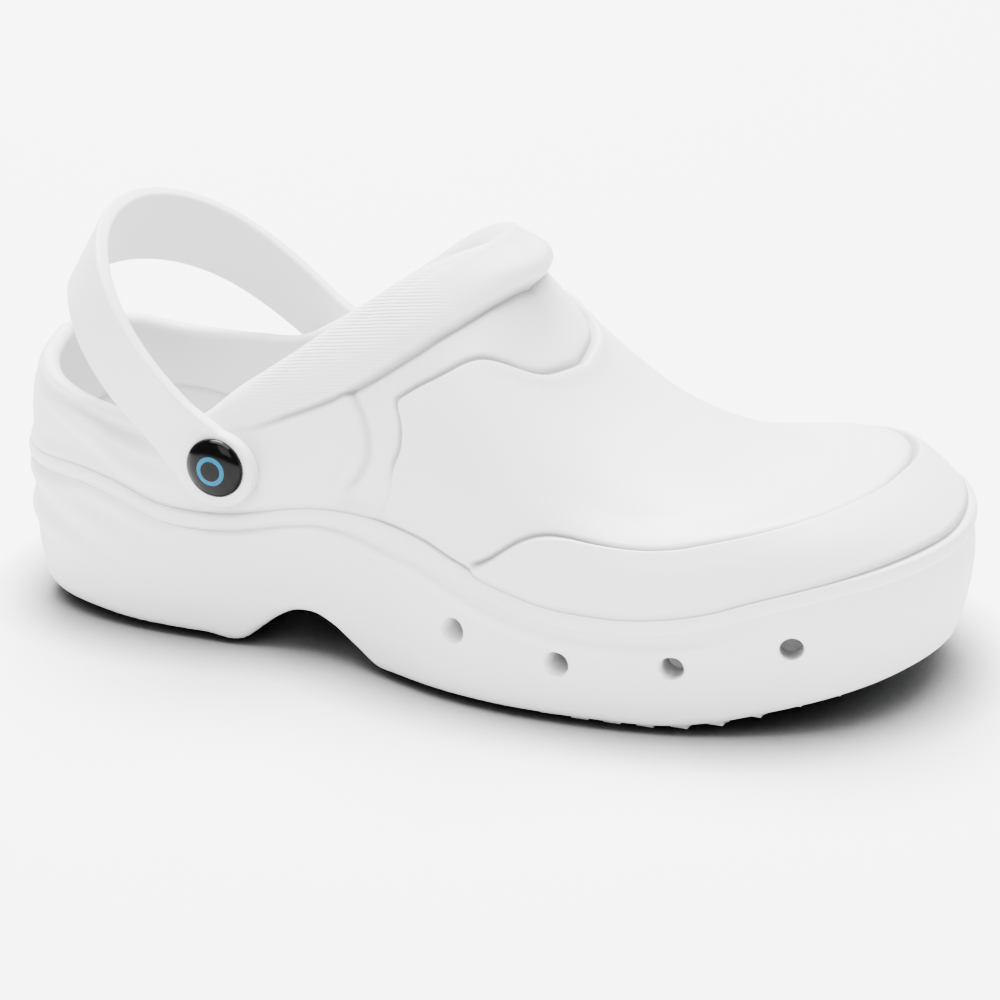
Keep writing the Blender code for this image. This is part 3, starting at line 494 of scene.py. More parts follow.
def scaled(tree: bpy.types.NodeTree, value: bpy.types.NodeSocket, low: float,
           high: float) -> bpy.types.NodeSocket:
    """A nought-to-one value mapped to low..high."""
    node = tree.nodes.new("ShaderNodeMapRange")
    node.inputs["To Min"].default_value = low
    node.inputs["To Max"].default_value = high
    tree.links.new(value, node.inputs["Value"])
    return node.outputs["Result"]


def maths(tree: bpy.types.NodeTree, operation: str,
          *values: float | bpy.types.NodeSocket) -> bpy.types.NodeSocket:
    """Result of a maths node on sockets or numbers."""
    node = tree.nodes.new("ShaderNodeMath")
    node.operation = operation
    for socket, value in zip(node.inputs, values):
        if isinstance(value, bpy.types.NodeSocket):
            tree.links.new(value, socket)
        else:
            socket.default_value = value
    return node.outputs["Value"]


def grey(tree: bpy.types.NodeTree, value: bpy.types.NodeSocket) -> bpy.types.NodeSocket:
    """Grey colour of a value."""
    node = tree.nodes.new("ShaderNodeCombineColor")
    for channel in range(3):
        tree.links.new(value, node.inputs[channel])
    return node.outputs[0]


def bump(tree: bpy.types.NodeTree, height: bpy.types.NodeSocket, strength: bpy.types.NodeSocket,
         deep: float, below: bpy.types.NodeSocket | None = None) -> bpy.types.NodeSocket:
    """Normal of a surface with a fine relief, over another normal where one is given."""
    node = tree.nodes.new("ShaderNodeBump")
    node.inputs["Distance"].default_value = deep
    tree.links.new(strength, node.inputs["Strength"])
    tree.links.new(height, node.inputs["Height"])
    if below is not None:
        tree.links.new(below, node.inputs["Normal"])
    return node.outputs["Normal"]


@dataclass(frozen=True)
class Skin:
    """Scales and depths of the moulded foam's surface."""

    cloud_scale: float = 22.0
    patch_scale: float = 95.0
    pore_scale: float = 1500.0
    pore_deep: float = 0.0001
    tone: tuple[float, float] = (0.965, 1.015)
    # Share of the tone left at the bottom of a crease: shade painted into the colour.
    crease_shade_tone: float = 0.42
    gloss: tuple[float, float] = (-0.05, 0.07)
    rib_across: tuple[float, float, float] = (-0.1175, -0.3722, 0.9206)
    rib_pitch: float = 0.00096
    rib_deep: float = 0.00008
    rib_wander: float = 0.0005
    wander_scale: float = 160.0

    def rib_wave(self, tree: bpy.types.NodeTree) -> bpy.types.NodeSocket:
        """Fine waves along the collar's roll, alike on both sides of the shoe."""
        parts = tree.nodes.new("ShaderNodeSeparateXYZ")
        mirrored = tree.nodes.new("ShaderNodeCombineXYZ")
        slope = tree.nodes.new("ShaderNodeVectorMath")
        slope.operation = "DOT_PRODUCT"
        slope.inputs[1].default_value = self.rib_across
        tree.links.new(tree.nodes["coords"].outputs["Object"], parts.inputs[0])
        tree.links.new(parts.outputs["X"], mirrored.inputs["X"])
        tree.links.new(maths(tree, "ABSOLUTE", parts.outputs["Y"]), mirrored.inputs["Y"])
        tree.links.new(parts.outputs["Z"], mirrored.inputs["Z"])
        tree.links.new(mirrored.outputs[0], slope.inputs[0])
        wander = noise(tree, self.wander_scale, 1.0).outputs["Fac"]
        path = maths(tree, "MULTIPLY_ADD", wander, self.rib_wander, slope.outputs["Value"])
        return maths(tree, "SINE", maths(tree, "MULTIPLY", path, 2 * math.pi / self.rib_pitch))

    def build(self) -> bpy.types.NodeTree:
        """Shared look of moulded foam: cloudy tone with shade painted into creases, uneven gloss,
        pores and fine ribs.
        """
        tree = shader_group(
            "moulded_skin",
            {"Grain": ("NodeSocketFloat", 0.2), "Fine Ribs": ("NodeSocketFloat", 0.0),
             "Crease": ("NodeSocketFloat", 0.0)},
            {"Tone": "NodeSocketFloat", "Gloss": "NodeSocketFloat", "Normal": "NodeSocketVector"})
        given = tree.nodes["in"].outputs
        cloud, patch, pores = (
            noise(tree, scale, detail).outputs["Fac"] for scale, detail in
            ((self.cloud_scale, 3.0), (self.patch_scale, 4.0), (self.pore_scale, 2.0)))
        # Cloudy tone, darkened by the shade painted into creases.
        tone = maths(tree, "MULTIPLY", scaled(tree, cloud, *self.tone),
                     scaled(tree, given["Crease"], 1.0, self.crease_shade_tone))
        fine = bump(tree, pores, given["Grain"], self.pore_deep)
        ribbed = bump(tree, self.rib_wave(tree), given["Fine Ribs"], self.rib_deep, fine)
        for value, socket in ((tone, "Tone"), (scaled(tree, patch, *self.gloss), "Gloss"),
                              (ribbed, "Normal")):
            tree.links.new(value, tree.nodes["out"].inputs[socket])
        return tree


def new_finish(name: str) -> tuple[bpy.types.Material, bpy.types.NodeTree, bpy.types.Node]:
    """New node material, its tree and its surface shader."""
    made = bpy.data.materials.new(name)
    made.use_nodes = True
    return made, made.node_tree, made.node_tree.nodes["Principled BSDF"]


@dataclass(frozen=True)
class Foam:
    """Finish of a moulded foam piece."""

    name: str
    colour: tuple[float, float, float]
    rough: float
    grain: float
    ribs: bool = False
    shine: float = 0.42
    sheen: float = 0.06
    sheen_rough: float = 0.5

    def build(self) -> bpy.types.Material:
        """The finish as a node material."""
        made, tree, shader = new_finish(self.name)
        shader.inputs["Specular IOR Level"].default_value = self.shine
        shader.inputs["Sheen Weight"].default_value = self.sheen
        shader.inputs["Sheen Roughness"].default_value = self.sheen_rough
        group = tree.nodes.new("ShaderNodeGroup")
        group.node_tree = bpy.data.node_groups.get("moulded_skin") or Skin().build()
        group.inputs["Grain"].default_value = self.grain
        # The crease attribute carries painted shade; the ribs attribute only a bump.
        for name, socket in (("crease", "Crease"), ("fine_ribs", "Fine Ribs"))[:1 + self.ribs]:
            attribute = tree.nodes.new("ShaderNodeAttribute")
            attribute.attribute_name = name
            tree.links.new(attribute.outputs["Fac"], group.inputs[socket])
        tone = tree.nodes.new("ShaderNodeMix")
        tone.data_type, tone.blend_type = "RGBA", "MULTIPLY"
        tone.inputs["Factor"].default_value = 1.0
        tone.inputs[6].default_value = (*self.colour, 1.0)
        tree.links.new(grey(tree, group.outputs["Tone"]), tone.inputs[7])
        rough = maths(tree, "ADD", group.outputs["Gloss"], self.rough)
        tree.links.new(tone.outputs[2], shader.inputs["Base Color"])
        tree.links.new(rough, shader.inputs["Roughness"])
        tree.links.new(group.outputs["Normal"], shader.inputs["Normal"])
        return made


@dataclass(frozen=True)
class Gloss:
    """Finish of a smooth glossy plastic piece."""

    name: str
    colour: tuple[float, float, float]
    rough: float
    shine: float = 0.11
    scuffs: float = 260.0

    def build(self) -> bpy.types.Material:
        """The finish as a node material, its gloss a little uneven."""
        made, tree, shader = new_finish(self.name)
        shader.inputs["Base Color"].default_value = (*self.colour, 1.0)
        shader.inputs["Specular IOR Level"].default_value = self.shine
        uneven = noise(tree, self.scuffs, 3.0).outputs["Fac"]
        tree.links.new(scaled(tree, uneven, self.rough * 0.8, self.rough * 1.35),
                       shader.inputs["Roughness"])
        return made


def floor_material(reach: float = 0.024, fall: float = 2.2, dark: float = 0.01,
                   pale: float = 0.97) -> bpy.types.Material:
    """Pale matt floor with a shadow painted into its colour within a short reach of the shoe."""
    made, tree, shader = new_finish("pale_floor")
    # Painted contact shadow: occlusion near the shoe darkens the floor's colour.
    near = tree.nodes.new("ShaderNodeAmbientOcclusion")
    near.samples = 12
    near.inputs["Distance"].default_value = reach
    shade = scaled(tree, maths(tree, "POWER", near.outputs["AO"], fall), dark, pale)
    tree.links.new(grey(tree, shade), shader.inputs["Base Color"])
    shader.inputs["Roughness"].default_value = 0.9
    shader.inputs["Specular IOR Level"].default_value = 0.05
    return made


# The pieces


@dataclass(frozen=True)
class Moulding:
    """Depths and half widths of the lines moulded into the upper."""

    soft: float = 0.0002
    groove_deep: float = 0.0010
    groove_wide: float = 0.0014
    band_lip: float = 0.00035
    corner: float = 0.0030
    vamp_crest: float = 0.0008
    rear_crest: float = 0.00065
    under_roll: float = 0.0009
    flange: float = 0.0046
    ridge: float = 0.0016
    ridge_wide: float = 0.0052
    trough: float = 0.0012
    trough_wide: float = 0.0042
    heel_foot: float = 0.0011
    parting: float = 0.0008


MOULDING = Moulding()


@dataclass
class Upper:
    """The hollow moulded upper, with its roll, overlays, channel and heel waves."""

    last: Last
    finish: Foam
    columns: int = 560
    fine: int = 150
    curl: float = 0.0060
    outer_curl: float = 0.0018

    def __post_init__(self) -> None:
        self.place, self.side = self.last.columns(self.columns)
        bead = self.last.point(self.place, self.side)
        start = flat(bead + inward(bead)[:, :2] * 0.0006, bead_height(bead[:, 0]) + 0.00004)
        stop = np.c_[tween(COLLAR, 1, self.place) * SIZES.length,
                     self.side * tween(COLLAR, 2, self.place) * SIZES.half_breadth,
                     tween(COLLAR, 3, self.place) * SIZES.height]
        knots = [start]
        for k, share in enumerate(INWARD):
            knot = start + (stop - start) * share
            knot[:, 2] = start[:, 2] + (stop - start)[:, 2] * tween(SECTION, k + 1, self.place)
            knots.append(knot)
        self.wall = open_spline(np.stack(knots + [stop]), self.fine)
        steps = np.linalg.norm(np.diff(self.wall, axis=0), axis=2)
        self.lengths = np.vstack([np.zeros(self.columns), np.cumsum(steps, axis=0)])
        drop = tween(SETTLE, 1, self.wall[:, :, 0] / SIZES.length)
        self.wall[:, :, 2] -= drop * ease(self.lengths, 0.018, 0.044) \
            * ease(self.lengths[-1] - self.lengths, 0.012, 0.030)
        pull = 0.0022 * ease(self.place, 0.82, 0.95) * hump(self.lengths - 0.009, 0.019)
        self.wall += inward(bead)[None, :, :] * pull[:, :, None]
        place = self.place
        self.band = np.where(self.side < 0, tween(OVERLAYS, 1, place),
                             tween(OVERLAYS, 2, place)) * SIZES.height
        self.band_on, self.strength = tween(OVERLAYS, 3, place), tween(OVERLAYS, 5, place)
        self.roll = SIZES.roll_wide * self.strength
        self.yoke = self.roll + tween(OVERLAYS, 4, place) * SIZES.height
        soft = np.exp(-np.linspace(-2, 2, 31) ** 2)
        for name in ("band", "yoke"):
            line = np.r_[getattr(self, name)[-15:], getattr(self, name), getattr(self, name)[:15]]
            setattr(self, name, np.convolve(line, soft / soft.sum(), "valid"))
        self.around = self.last.lengths[0][-1]
        self.thick = SIZES.wall + (SIZES.heel_wall - SIZES.wall) * (1 - ease(place, 0.14, 0.27))

    def at(self, marks: np.ndarray) -> np.ndarray:
        """Wall points, rows by columns, at distances from the bead."""
        out = np.empty((*marks.shape, 3))
        for c in range(self.columns):
            for k in range(3):
                out[:, c, k] = np.interp(marks[:, c], self.lengths[:, c], self.wall[:, c, k])
        return out

    def rows(self) -> np.ndarray:
        """Distances from the bead of the outside's rows, crowded at the overlays' edges."""
        total, near = self.lengths[-1], 0.0011
        marks = [np.zeros(self.columns), np.maximum(self.band - near, self.band * 0.5),
                 self.band + near, total - self.yoke - near * 1.2, total - self.yoke + near,
                 total - self.roll - near, total - self.roll + near * 0.6, total]
        for k, least in ((3, 0.0006), (4, 0.0002), (5, 0.0002), (6, 0.0002)):
            marks[k] = np.maximum(marks[k], marks[k - 1] + least)
        return blend_rows(marks, (10, 12, 46, 12, 12, 10, 30))

    def toe_band(self, low: np.ndarray) -> tuple[np.ndarray, np.ndarray]:
        """Relief of the band round the toe, with the groove along its top, and the shade painted into
        that groove.
        """
        run, wide = SIZES.step_run, MOULDING.groove_wide
        groove = self.band_on * hump(low - self.band - run, wide)
        lip = self.band_on * hump(low - self.band + wide, 0.0020)
        flat_part = self.band_on * (1 - ease(low, self.band - MOULDING.soft, self.band + run))
        return (SIZES.band_proud * flat_part - MOULDING.groove_deep * groove
                + MOULDING.band_lip * lip), groove

    def overlays(self, low: np.ndarray, high: np.ndarray) -> tuple[np.ndarray, np.ndarray]:
        """Relief of the sunken yoke and channel and of the crests beside them, and the shade painted
        into their groove and fold.
        """
        place, height, m = self.place, SIZES.height, MOULDING
        rear = (tween(CHANNEL, 1, low / height) - place) * self.around
        front = (place - tween(CHANNEL, 2, low / height)) * self.around
        top = high - self.yoke
        rounding = np.maximum(m.corner - np.abs(front - top), 0) ** 2 / (4 * m.corner)
        vamp = np.minimum(front, top) - rounding
        on_rear = ease(top - front, -0.004, 0.004)
        fade = 1 - on_rear * (1 - ease(low, 0.010, 0.022))
        inside = ease(high, self.roll, self.roll + SIZES.step_run)
        sunk = (1 - ease(vamp, -m.soft, SIZES.step_run)) * (1 - ease(rear, -0.0014, 0.0022))
        groove = hump(vamp + 0.0006, m.groove_wide) * fade * inside * ease(-rear, -0.0005, 0.0010)
        crest = (0.30 + 0.70 * ease(place, 0.60, 0.90)) * (1 - 0.7 * on_rear) * fade
        out = m.vamp_crest * crest * hump(vamp - 0.0020, 0.0026) * inside
        out += m.rear_crest * hump(rear - 0.0030, 0.0040) * inside * ease(low, 0.003, 0.008)
        out -= SIZES.yoke_deep * sunk * inside * ease(low, 0.0005, 0.0045) + m.groove_deep * groove
        fold = hump(rear + 0.0012, 0.0022) * inside * ease(low, 0.003, 0.010) * (vamp < 0)
        return out, groove + 0.60 * fold

    def collar_roll(self, high: np.ndarray) -> tuple[np.ndarray, np.ndarray]:
        """Relief of the roll round the collar, flared toward the front, and the shade painted into
        the line under it.
        """
        swell = dome(high - self.roll * 0.5, self.roll)
        keep = 0.72 * ease(self.place, 0.25, 0.35) * (high < self.roll * 0.5)
        down = high / self.roll
        flare = ease(self.place, 0.62, 0.95) * ease(down, 0.02, 0.80) * (1 - ease(down, 0.95, 1.05))
        line = ease(self.strength, 0.3, 0.6) * hump(high - self.roll - 0.0006, 0.0016)
        return (SIZES.roll_proud * self.strength ** 2 * (swell + (1 - swell) * keep)
                + MOULDING.flange * flare - MOULDING.under_roll * line), 0.9 * line

    def heel_waves(self, low: np.ndarray, high: np.ndarray,
                   up: np.ndarray) -> tuple[np.ndarray, np.ndarray]:
        """Relief of the waves round the heel and of the line above the sole, and the shade painted
        into the troughs and that line.
        """
        place, height, m = self.place, SIZES.height, MOULDING
        strong = tween(WAVES, 3, place)
        ridge = strong * hump(up - tween(WAVES, 1, place) * height, m.ridge_wide)
        trough = strong * hump(up - tween(WAVES, 2, place) * height, m.trough_wide) \
            * ease(high, 0.0, 0.003)
        foot = (1 - ease(place, 0.10, 0.24)) * hump(low - 0.0006, 0.0050)
        line = hump(low - 0.0003, m.groove_wide)
        out = m.ridge * ridge - m.trough * trough + m.heel_foot * foot
        out -= m.parting * ease(place, 0.43, 0.45) * (1 - self.band_on) * line
        return out, 0.45 * trough + 0.40 * ease(place, 0.38, 0.50) * line

    def relief(self, low: np.ndarray, high: np.ndarray,
               up: np.ndarray) -> tuple[np.ndarray, np.ndarray]:
        """How far the moulded detail stands out of the plain wall.

        Args:
            low: distances from the bead.
            high: distances from the rim.
            up: heights above the ground.

        Returns:
            The distances along the wall's outward normal, and how much shade is painted on each
            point.
        """
        parts = (self.toe_band(low), self.overlays(low, high), self.collar_roll(high),
                 self.heel_waves(low, high, up))
        return sum(out for out, _ in parts), sum(crease for _, crease in parts)

    def rim(self, top: np.ndarray, ahead: np.ndarray, proud: np.ndarray,
            arc: np.ndarray) -> tuple[np.ndarray, np.ndarray]:
        """Rounded rim from the outside's last row over to the inside.

        Args:
            top: the outside's last row.
            ahead: its outward normals.
            proud: how far it stands out of the plain wall.
            arc: angles of the rim's rows.

        Returns:
            The rows, and how much thicker than the plain wall the rim is.
        """
        place = self.place
        climb = np.cross(np.roll(top, -1, 0) - np.roll(top, 1, 0), ahead)
        climb /= -np.linalg.norm(climb, axis=1)[:, None]
        tall = ease(place, 0.25, 0.34) * (1 - ease(place, 0.48, 0.88)) * (self.side < 0)
        curl = self.curl * ease(place, 0.25, 0.35) * (1 - 0.55 * ease(place, 0.70, 0.92))
        extra = curl + self.outer_curl * tall
        lift = 0.9 - 0.25 * ease(place, 0.25, 0.35) - 0.42 * ease(place, 0.55, 0.90) + 0.42 * tall
        half = ((self.thick + extra + proud) / 2)[:, None]
        return np.stack([top - ahead * half * (1 - math.cos(t))
                         + climb * half * lift[:, None] * math.sin(t) for t in arc]), extra

    def inside(self, extra: np.ndarray, foot: np.ndarray) -> np.ndarray:
        """Rows of the inside, from the rim down to the foot's heights."""
        total = self.lengths[-1]
        shares = 1 - np.linspace(0, 1, 24)[1:] ** 1.25
        marks = shares[:, None] * (total - 0.0006)[None, :]
        grid = self.at(np.vstack([marks[::-1], total[None, :]]))
        normal = outward(grid)[:-1][::-1]
        deep = self.thick + extra * (1 - ease(total - marks, 0.002, 0.020))
        rows = grid[:-1][::-1] - normal * deep[:, :, None]
        rows[-1, :, 2] = foot
        return rows

    def build(self) -> bpy.types.Object:
        """The upper as one closed hollow body, with attributes for its ribs and its painted shade."""
        low = self.rows()
        high = self.lengths[-1] - low
        base = self.at(low)
        normal = outward(base)
        out, crease = self.relief(low, high, base[:, :, 2])
        # Painted shadow of the strap joins the painted crease shade.
        crease = crease + 0.42 * self.strap_shade(base)
        outside = base + normal * out[:, :, None]
        arc = np.linspace(0, math.pi, 19)[1:]
        rim, extra = self.rim(outside[-1], normal[-1], out[-1], arc)
        rings = np.concatenate([outside, rim, self.inside(extra, base[0, :, 2])])
        obj = to_object("upper_shell", rings.reshape(-1, 3),
                        skin_faces(len(rings), self.columns, Ends.JOINED))
        reach = ease(self.place, 0.325, 0.38) * (1 - ease(self.place, 0.54, 0.70))
        over = np.broadcast_to(1 - ease(arc, 0.8, 1.9)[:, None], (len(arc), self.columns))
        ribs = np.vstack([ease(self.roll - high, -0.0004, 0.0015), over]) * reach
        for name, values in (("fine_ribs", ribs), ("crease", np.clip(crease, 0, 1))):
            rest = np.zeros(len(rings) * self.columns - values.size)
            mark(obj, name, np.r_[values.ravel(), rest])
        self.bosses(obj)
        return obj

    def strap_shade(self, spots: np.ndarray) -> np.ndarray:
        """Painted shadow beside the raised strap's outer arm and below its round end."""
        along, up = spots[:, :, 0] - SIZES.pivot_outer, spots[:, :, 2] - SIZES.pivot_up
        away, across = (up - along) * 0.7071, (up + along) * 0.7071
        arm = (1 - ease(-across - 0.0100, 0.0, 0.0065)) * ease(away, -0.002, 0.006)
        end = 1 - ease(np.hypot(along + 0.001, up + 0.0015) - 0.0112, 0.0, 0.0048)
        return np.maximum(arm * (across < 0), end * (across < 0.002)) * (self.side < 0)

    def bosses(self, obj: bpy.types.Object) -> None:
        """Round seats that carry the strap's ends, merged into the upper."""
        face = SIZES.half_gap - 0.0021 - SIZES.gap
        made = []
        for side in Side:
            along = SIZES.pivot_outer if side is Side.OUTER else SIZES.pivot_inner
            rows = [(0.0, 0.0), (0.0068, 0.0), (0.0074, -0.0003), (0.0076, -0.0009),
                    (0.0078, -0.0024), (0.0086, -0.0040), (0.0, -0.0042)]
            made.append(lathe("boss", rows, Vector((along, side.value * face, SIZES.pivot_up)),
                              Vector((0, side.value, 0)), 48))
        for piece in made:
            for name in ("fine_ribs", "crease"):
                mark(piece, name, np.zeros(len(piece.data.vertices)))
        join(obj, made)


@dataclass
class Sole:
    """The deep cup sole: side steps and beads, arch, vents, foot-bed and lugs."""

    last: Last
    finish: Foam
    columns: int = 560
    lug_long: float = 0.0062
    lug_pitch: float = 0.0094
    lug_clear: float = 0.0060
    lug_split: float = 0.0030
    lug_tall: float = 0.0021
    vent_wide: float = 0.0066

    def __post_init__(self) -> None:
        self.place, self.side = self.last.columns(self.columns)
        self.bead = self.last.point(self.place, self.side)
        self.into = inward(self.bead)[:, :2]
        self.along = self.bead[:, 0] / SIZES.length
        self.top = bead_height(self.bead[:, 0])
        self.lean = np.where(self.side < 0, tween(SOLE, 3, self.along),
                             tween(SOLE, 4, self.along)) * SIZES.height
        self.base = self.bead - self.into * self.lean[:, None]
        self.edge = tween(SOLE, 5, self.along) * SIZES.height

    def underside(self) -> list[np.ndarray]:
        """Rings from under the foot, over a fine groove and round the lower edge."""
        rings = []
        for inset, sunk in ((0.0090, 0.0), (0.0062, 0.0), (0.0058, 0.0009), (0.0040, 0.0),
                            (0.0020, 0.0)):
            ring = self.base + self.into * (self.edge + inset)[:, None]
            rings.append(flat(ring, under(ring[:, 0]) + sunk))
        for turn in np.radians(np.linspace(0, 90, 12)):
            ring = self.base + self.into * (self.edge * (1 - math.sin(turn)) ** 1.1)[:, None]
            rings.append(flat(ring, under(ring[:, 0]) + self.edge * (1 - math.cos(turn))))
        return rings

    def relief(self, level: np.ndarray, rise: np.ndarray, step: np.ndarray) -> np.ndarray:
        """How far the side stands out at one level.

        Args:
            level: heights above the ground.
            rise: shares of the way from the lower edge to the bead.
            step: heights of the side's step.

        Returns:
            The distances outward.
        """
        height, top, along = SIZES.height, self.top, self.along
        bead_low = top - SIZES.bead_tall
        fade = ease(along, 0.17, 0.28) * (1 - ease(along, 0.73, 0.86))
        ledge = (1 - ease(level - step, 0.0, 0.0012)) * ease(rise, 0.2, 0.7)
        out = 0.0012 * np.sin(np.pi * np.clip(rise, 0, 1))
        out += fade * (0.0009 * ledge + 0.0008 * hump(level - step + 0.0002, 0.0017)
                       - 0.0006 * hump(level - (step + bead_low) / 2, 0.0024))
        out += SIZES.bead_proud * dome(level - top + SIZES.bead_tall * 0.4, SIZES.bead_tall * 1.2)
        ridge = top - height * 0.062
        back = ease(self.place, 0.06, 0.13) * (1 - ease(self.place, 0.215, 0.27))
        out += back * (0.0010 * hump(level - ridge, 0.0042)
                       - 0.0006 * hump(level - (ridge + bead_low) / 2 - 0.001, 0.0030))
        waves = np.sin(2 * np.pi * (level / height - 0.10 * np.cos(np.pi * along / 0.25)) / 0.115)
        heel = (1 - ease(along, 0.10, 0.22)) * ease(rise, 0.15, 0.4) * (1 - ease(rise, 0.80, 0.97))
        return out + 0.0007 * heel * waves

    def sides(self) -> list[np.ndarray]:
        """Rings from the lower edge up to the bead."""
        start = under(self.base[:, 0]) + self.edge
        step = self.top - SIZES.height * (0.045 + 0.035 * ease(self.along, 0.36, 0.47))
        marks = [start, step - 0.0016, step + 0.0022, self.top - SIZES.bead_tall - 0.0006, self.top]
        rings = []
        for level in blend_rows(marks, (26, 10, 8, 16))[1:]:
            rise = (level - start) / (self.top - start)
            blend = np.where(self.lean > 0, rise ** 1.3, 1 - (1 - rise) ** 2.2)[:, None]
            ring = self.base * (1 - blend) + self.bead * blend
            rings.append(flat(ring - self.into * self.relief(level, rise, step)[:, None], level))
        return rings

    def cup(self) -> list[np.ndarray]:
        """Rings over the rim's land and down the cup to the foot-bed."""
        rings = [flat(self.bead + self.into * inset, self.top)
                 for inset in (0.0012, SIZES.rim_land * 0.55, SIZES.rim_land - 0.0006)]
        floor = floor_height(self.bead[:, 0])
        for inset, share in ((0.0, 0.92), (0.0003, 0.6), (0.0006, 0.3), (0.0008, 0.08),
                             (0.0020, 0.0), (0.0060, 0.0), (0.0118, 0.0)):
            ring = self.bead + self.into * (SIZES.rim_land + inset)
            rings.append(flat(ring, floor_height(ring[:, 0]) + (self.top - floor) * share))
        return rings

    def vents(self) -> bpy.types.Object:
        """Cutter with a round bar through each vent."""
        made = []
        for along, up in VENTS:
            for side in Side:
                spot, into = self.last.edge(along * SIZES.length, side.value)
                rows = [(0.0, 0.015), (self.vent_wide / 2 + 0.0012, 0.015),
                        (self.vent_wide / 2, -0.0006), (self.vent_wide / 2, -0.015),
                        (0.0, -0.015)]
                made.append(lathe("vent", rows, Vector((*spot, up * SIZES.height)),
                                  Vector((-into[0], -into[1], 0.0)), 40))
        join(made[0], made[1:])
        return made[0]

    def lug_spots(self) -> list[tuple[Vector, Vector]]:
        """Centre and size of every lug."""
        spots = []
        length = SIZES.length
        for start, stop, across in ((0.056, 0.268, 2), (0.460, 0.915, 3)):
            for r in range(int((stop - start) * length / self.lug_pitch) + 1):
                along = start * length + self.lug_long / 2 + r * self.lug_pitch
                if along + self.lug_long / 2 > stop * length:
                    continue
                ends = (along - self.lug_long / 2, along + self.lug_long / 2)
                outer = min(-self.last.edge(x, -1)[0][1] for x in ends)
                inner = min(self.last.edge(x, 1)[0][1] for x in ends)
                share = along / length
                ball = ease(share, 0.59, 0.66) * (1 - ease(share, 0.80, 0.86))
                ends_in = 0.004 * ease(share, 0.80, 0.90) + 0.007 * (1 - ease(share, 0.07, 0.15))
                tuck = float(self.lug_clear + ends_in - 0.0008 * ball
                             - tween(SOLE, 3, share) * SIZES.height)
                low, high = -outer + tuck, inner - max(tuck, self.lug_clear)
                wide = (high - low - self.lug_split * (across - 1)) / across
                up = float(under(np.array([along]))[0])
                foot = max(up - self.lug_tall, 0.0)
                for c in range(across):
                    middle = low + c * (wide + self.lug_split) + wide / 2
                    size = Vector((self.lug_long, wide, up + 0.0012 - foot))
                    spots.append((Vector((along, middle, foot + size.z / 2)), size))
        return spots

    def build(self) -> bpy.types.Object:
        """The sole as one object, its lugs set by geometry nodes."""
        rings = self.underside() + self.sides() + self.cup()
        obj = to_object("cup_sole", np.vstack(rings), skin_faces(len(rings), self.columns,
                                                                 Ends.FILLED))
        cutter = self.vents()
        cut = obj.modifiers.new("vents", "BOOLEAN")
        cut.operation, cut.solver, cut.object = "DIFFERENCE", "EXACT", cutter
        obj.data = evaluated(obj)
        obj.modifiers.clear()
        bpy.data.objects.remove(cutter, do_unlink=True)
        join(obj, [LugField(self.lug_spots()).build()])
        self.shade(obj)
        return obj

    def shade(self, obj: bpy.types.Object) -> None:
        """Paint shade on the inside of the vents."""
        verts = np.empty(len(obj.data.vertices) * 3)
        obj.data.vertices.foreach_get("co", verts)
        verts = verts.reshape(-1, 3) - np.array(SIZES.shift)
        crease = np.zeros(len(verts))
        for along, up in VENTS:
            for side in Side:
                spot, into = self.last.edge(along * SIZES.length, side.value)
                axis = np.array([*into, 0.0])
                gap = verts - np.array([*spot, up * SIZES.height])
                deep = gap @ axis
                across = np.linalg.norm(gap - deep[:, None] * axis, axis=1)
                # Painted shade inside each vent hole.
                crease[(across < self.vent_wide / 2 + 0.0002) & (deep > 0.0004)
                       & (deep < 0.0155)] = 0.75
        mark(obj, "crease", crease)


def evaluated(obj: bpy.types.Object) -> bpy.types.Mesh:
    """Plain mesh of an object with its modifiers applied."""
    graph = bpy.context.evaluated_depsgraph_get()
    return bpy.data.meshes.new_from_object(obj.evaluated_get(graph))


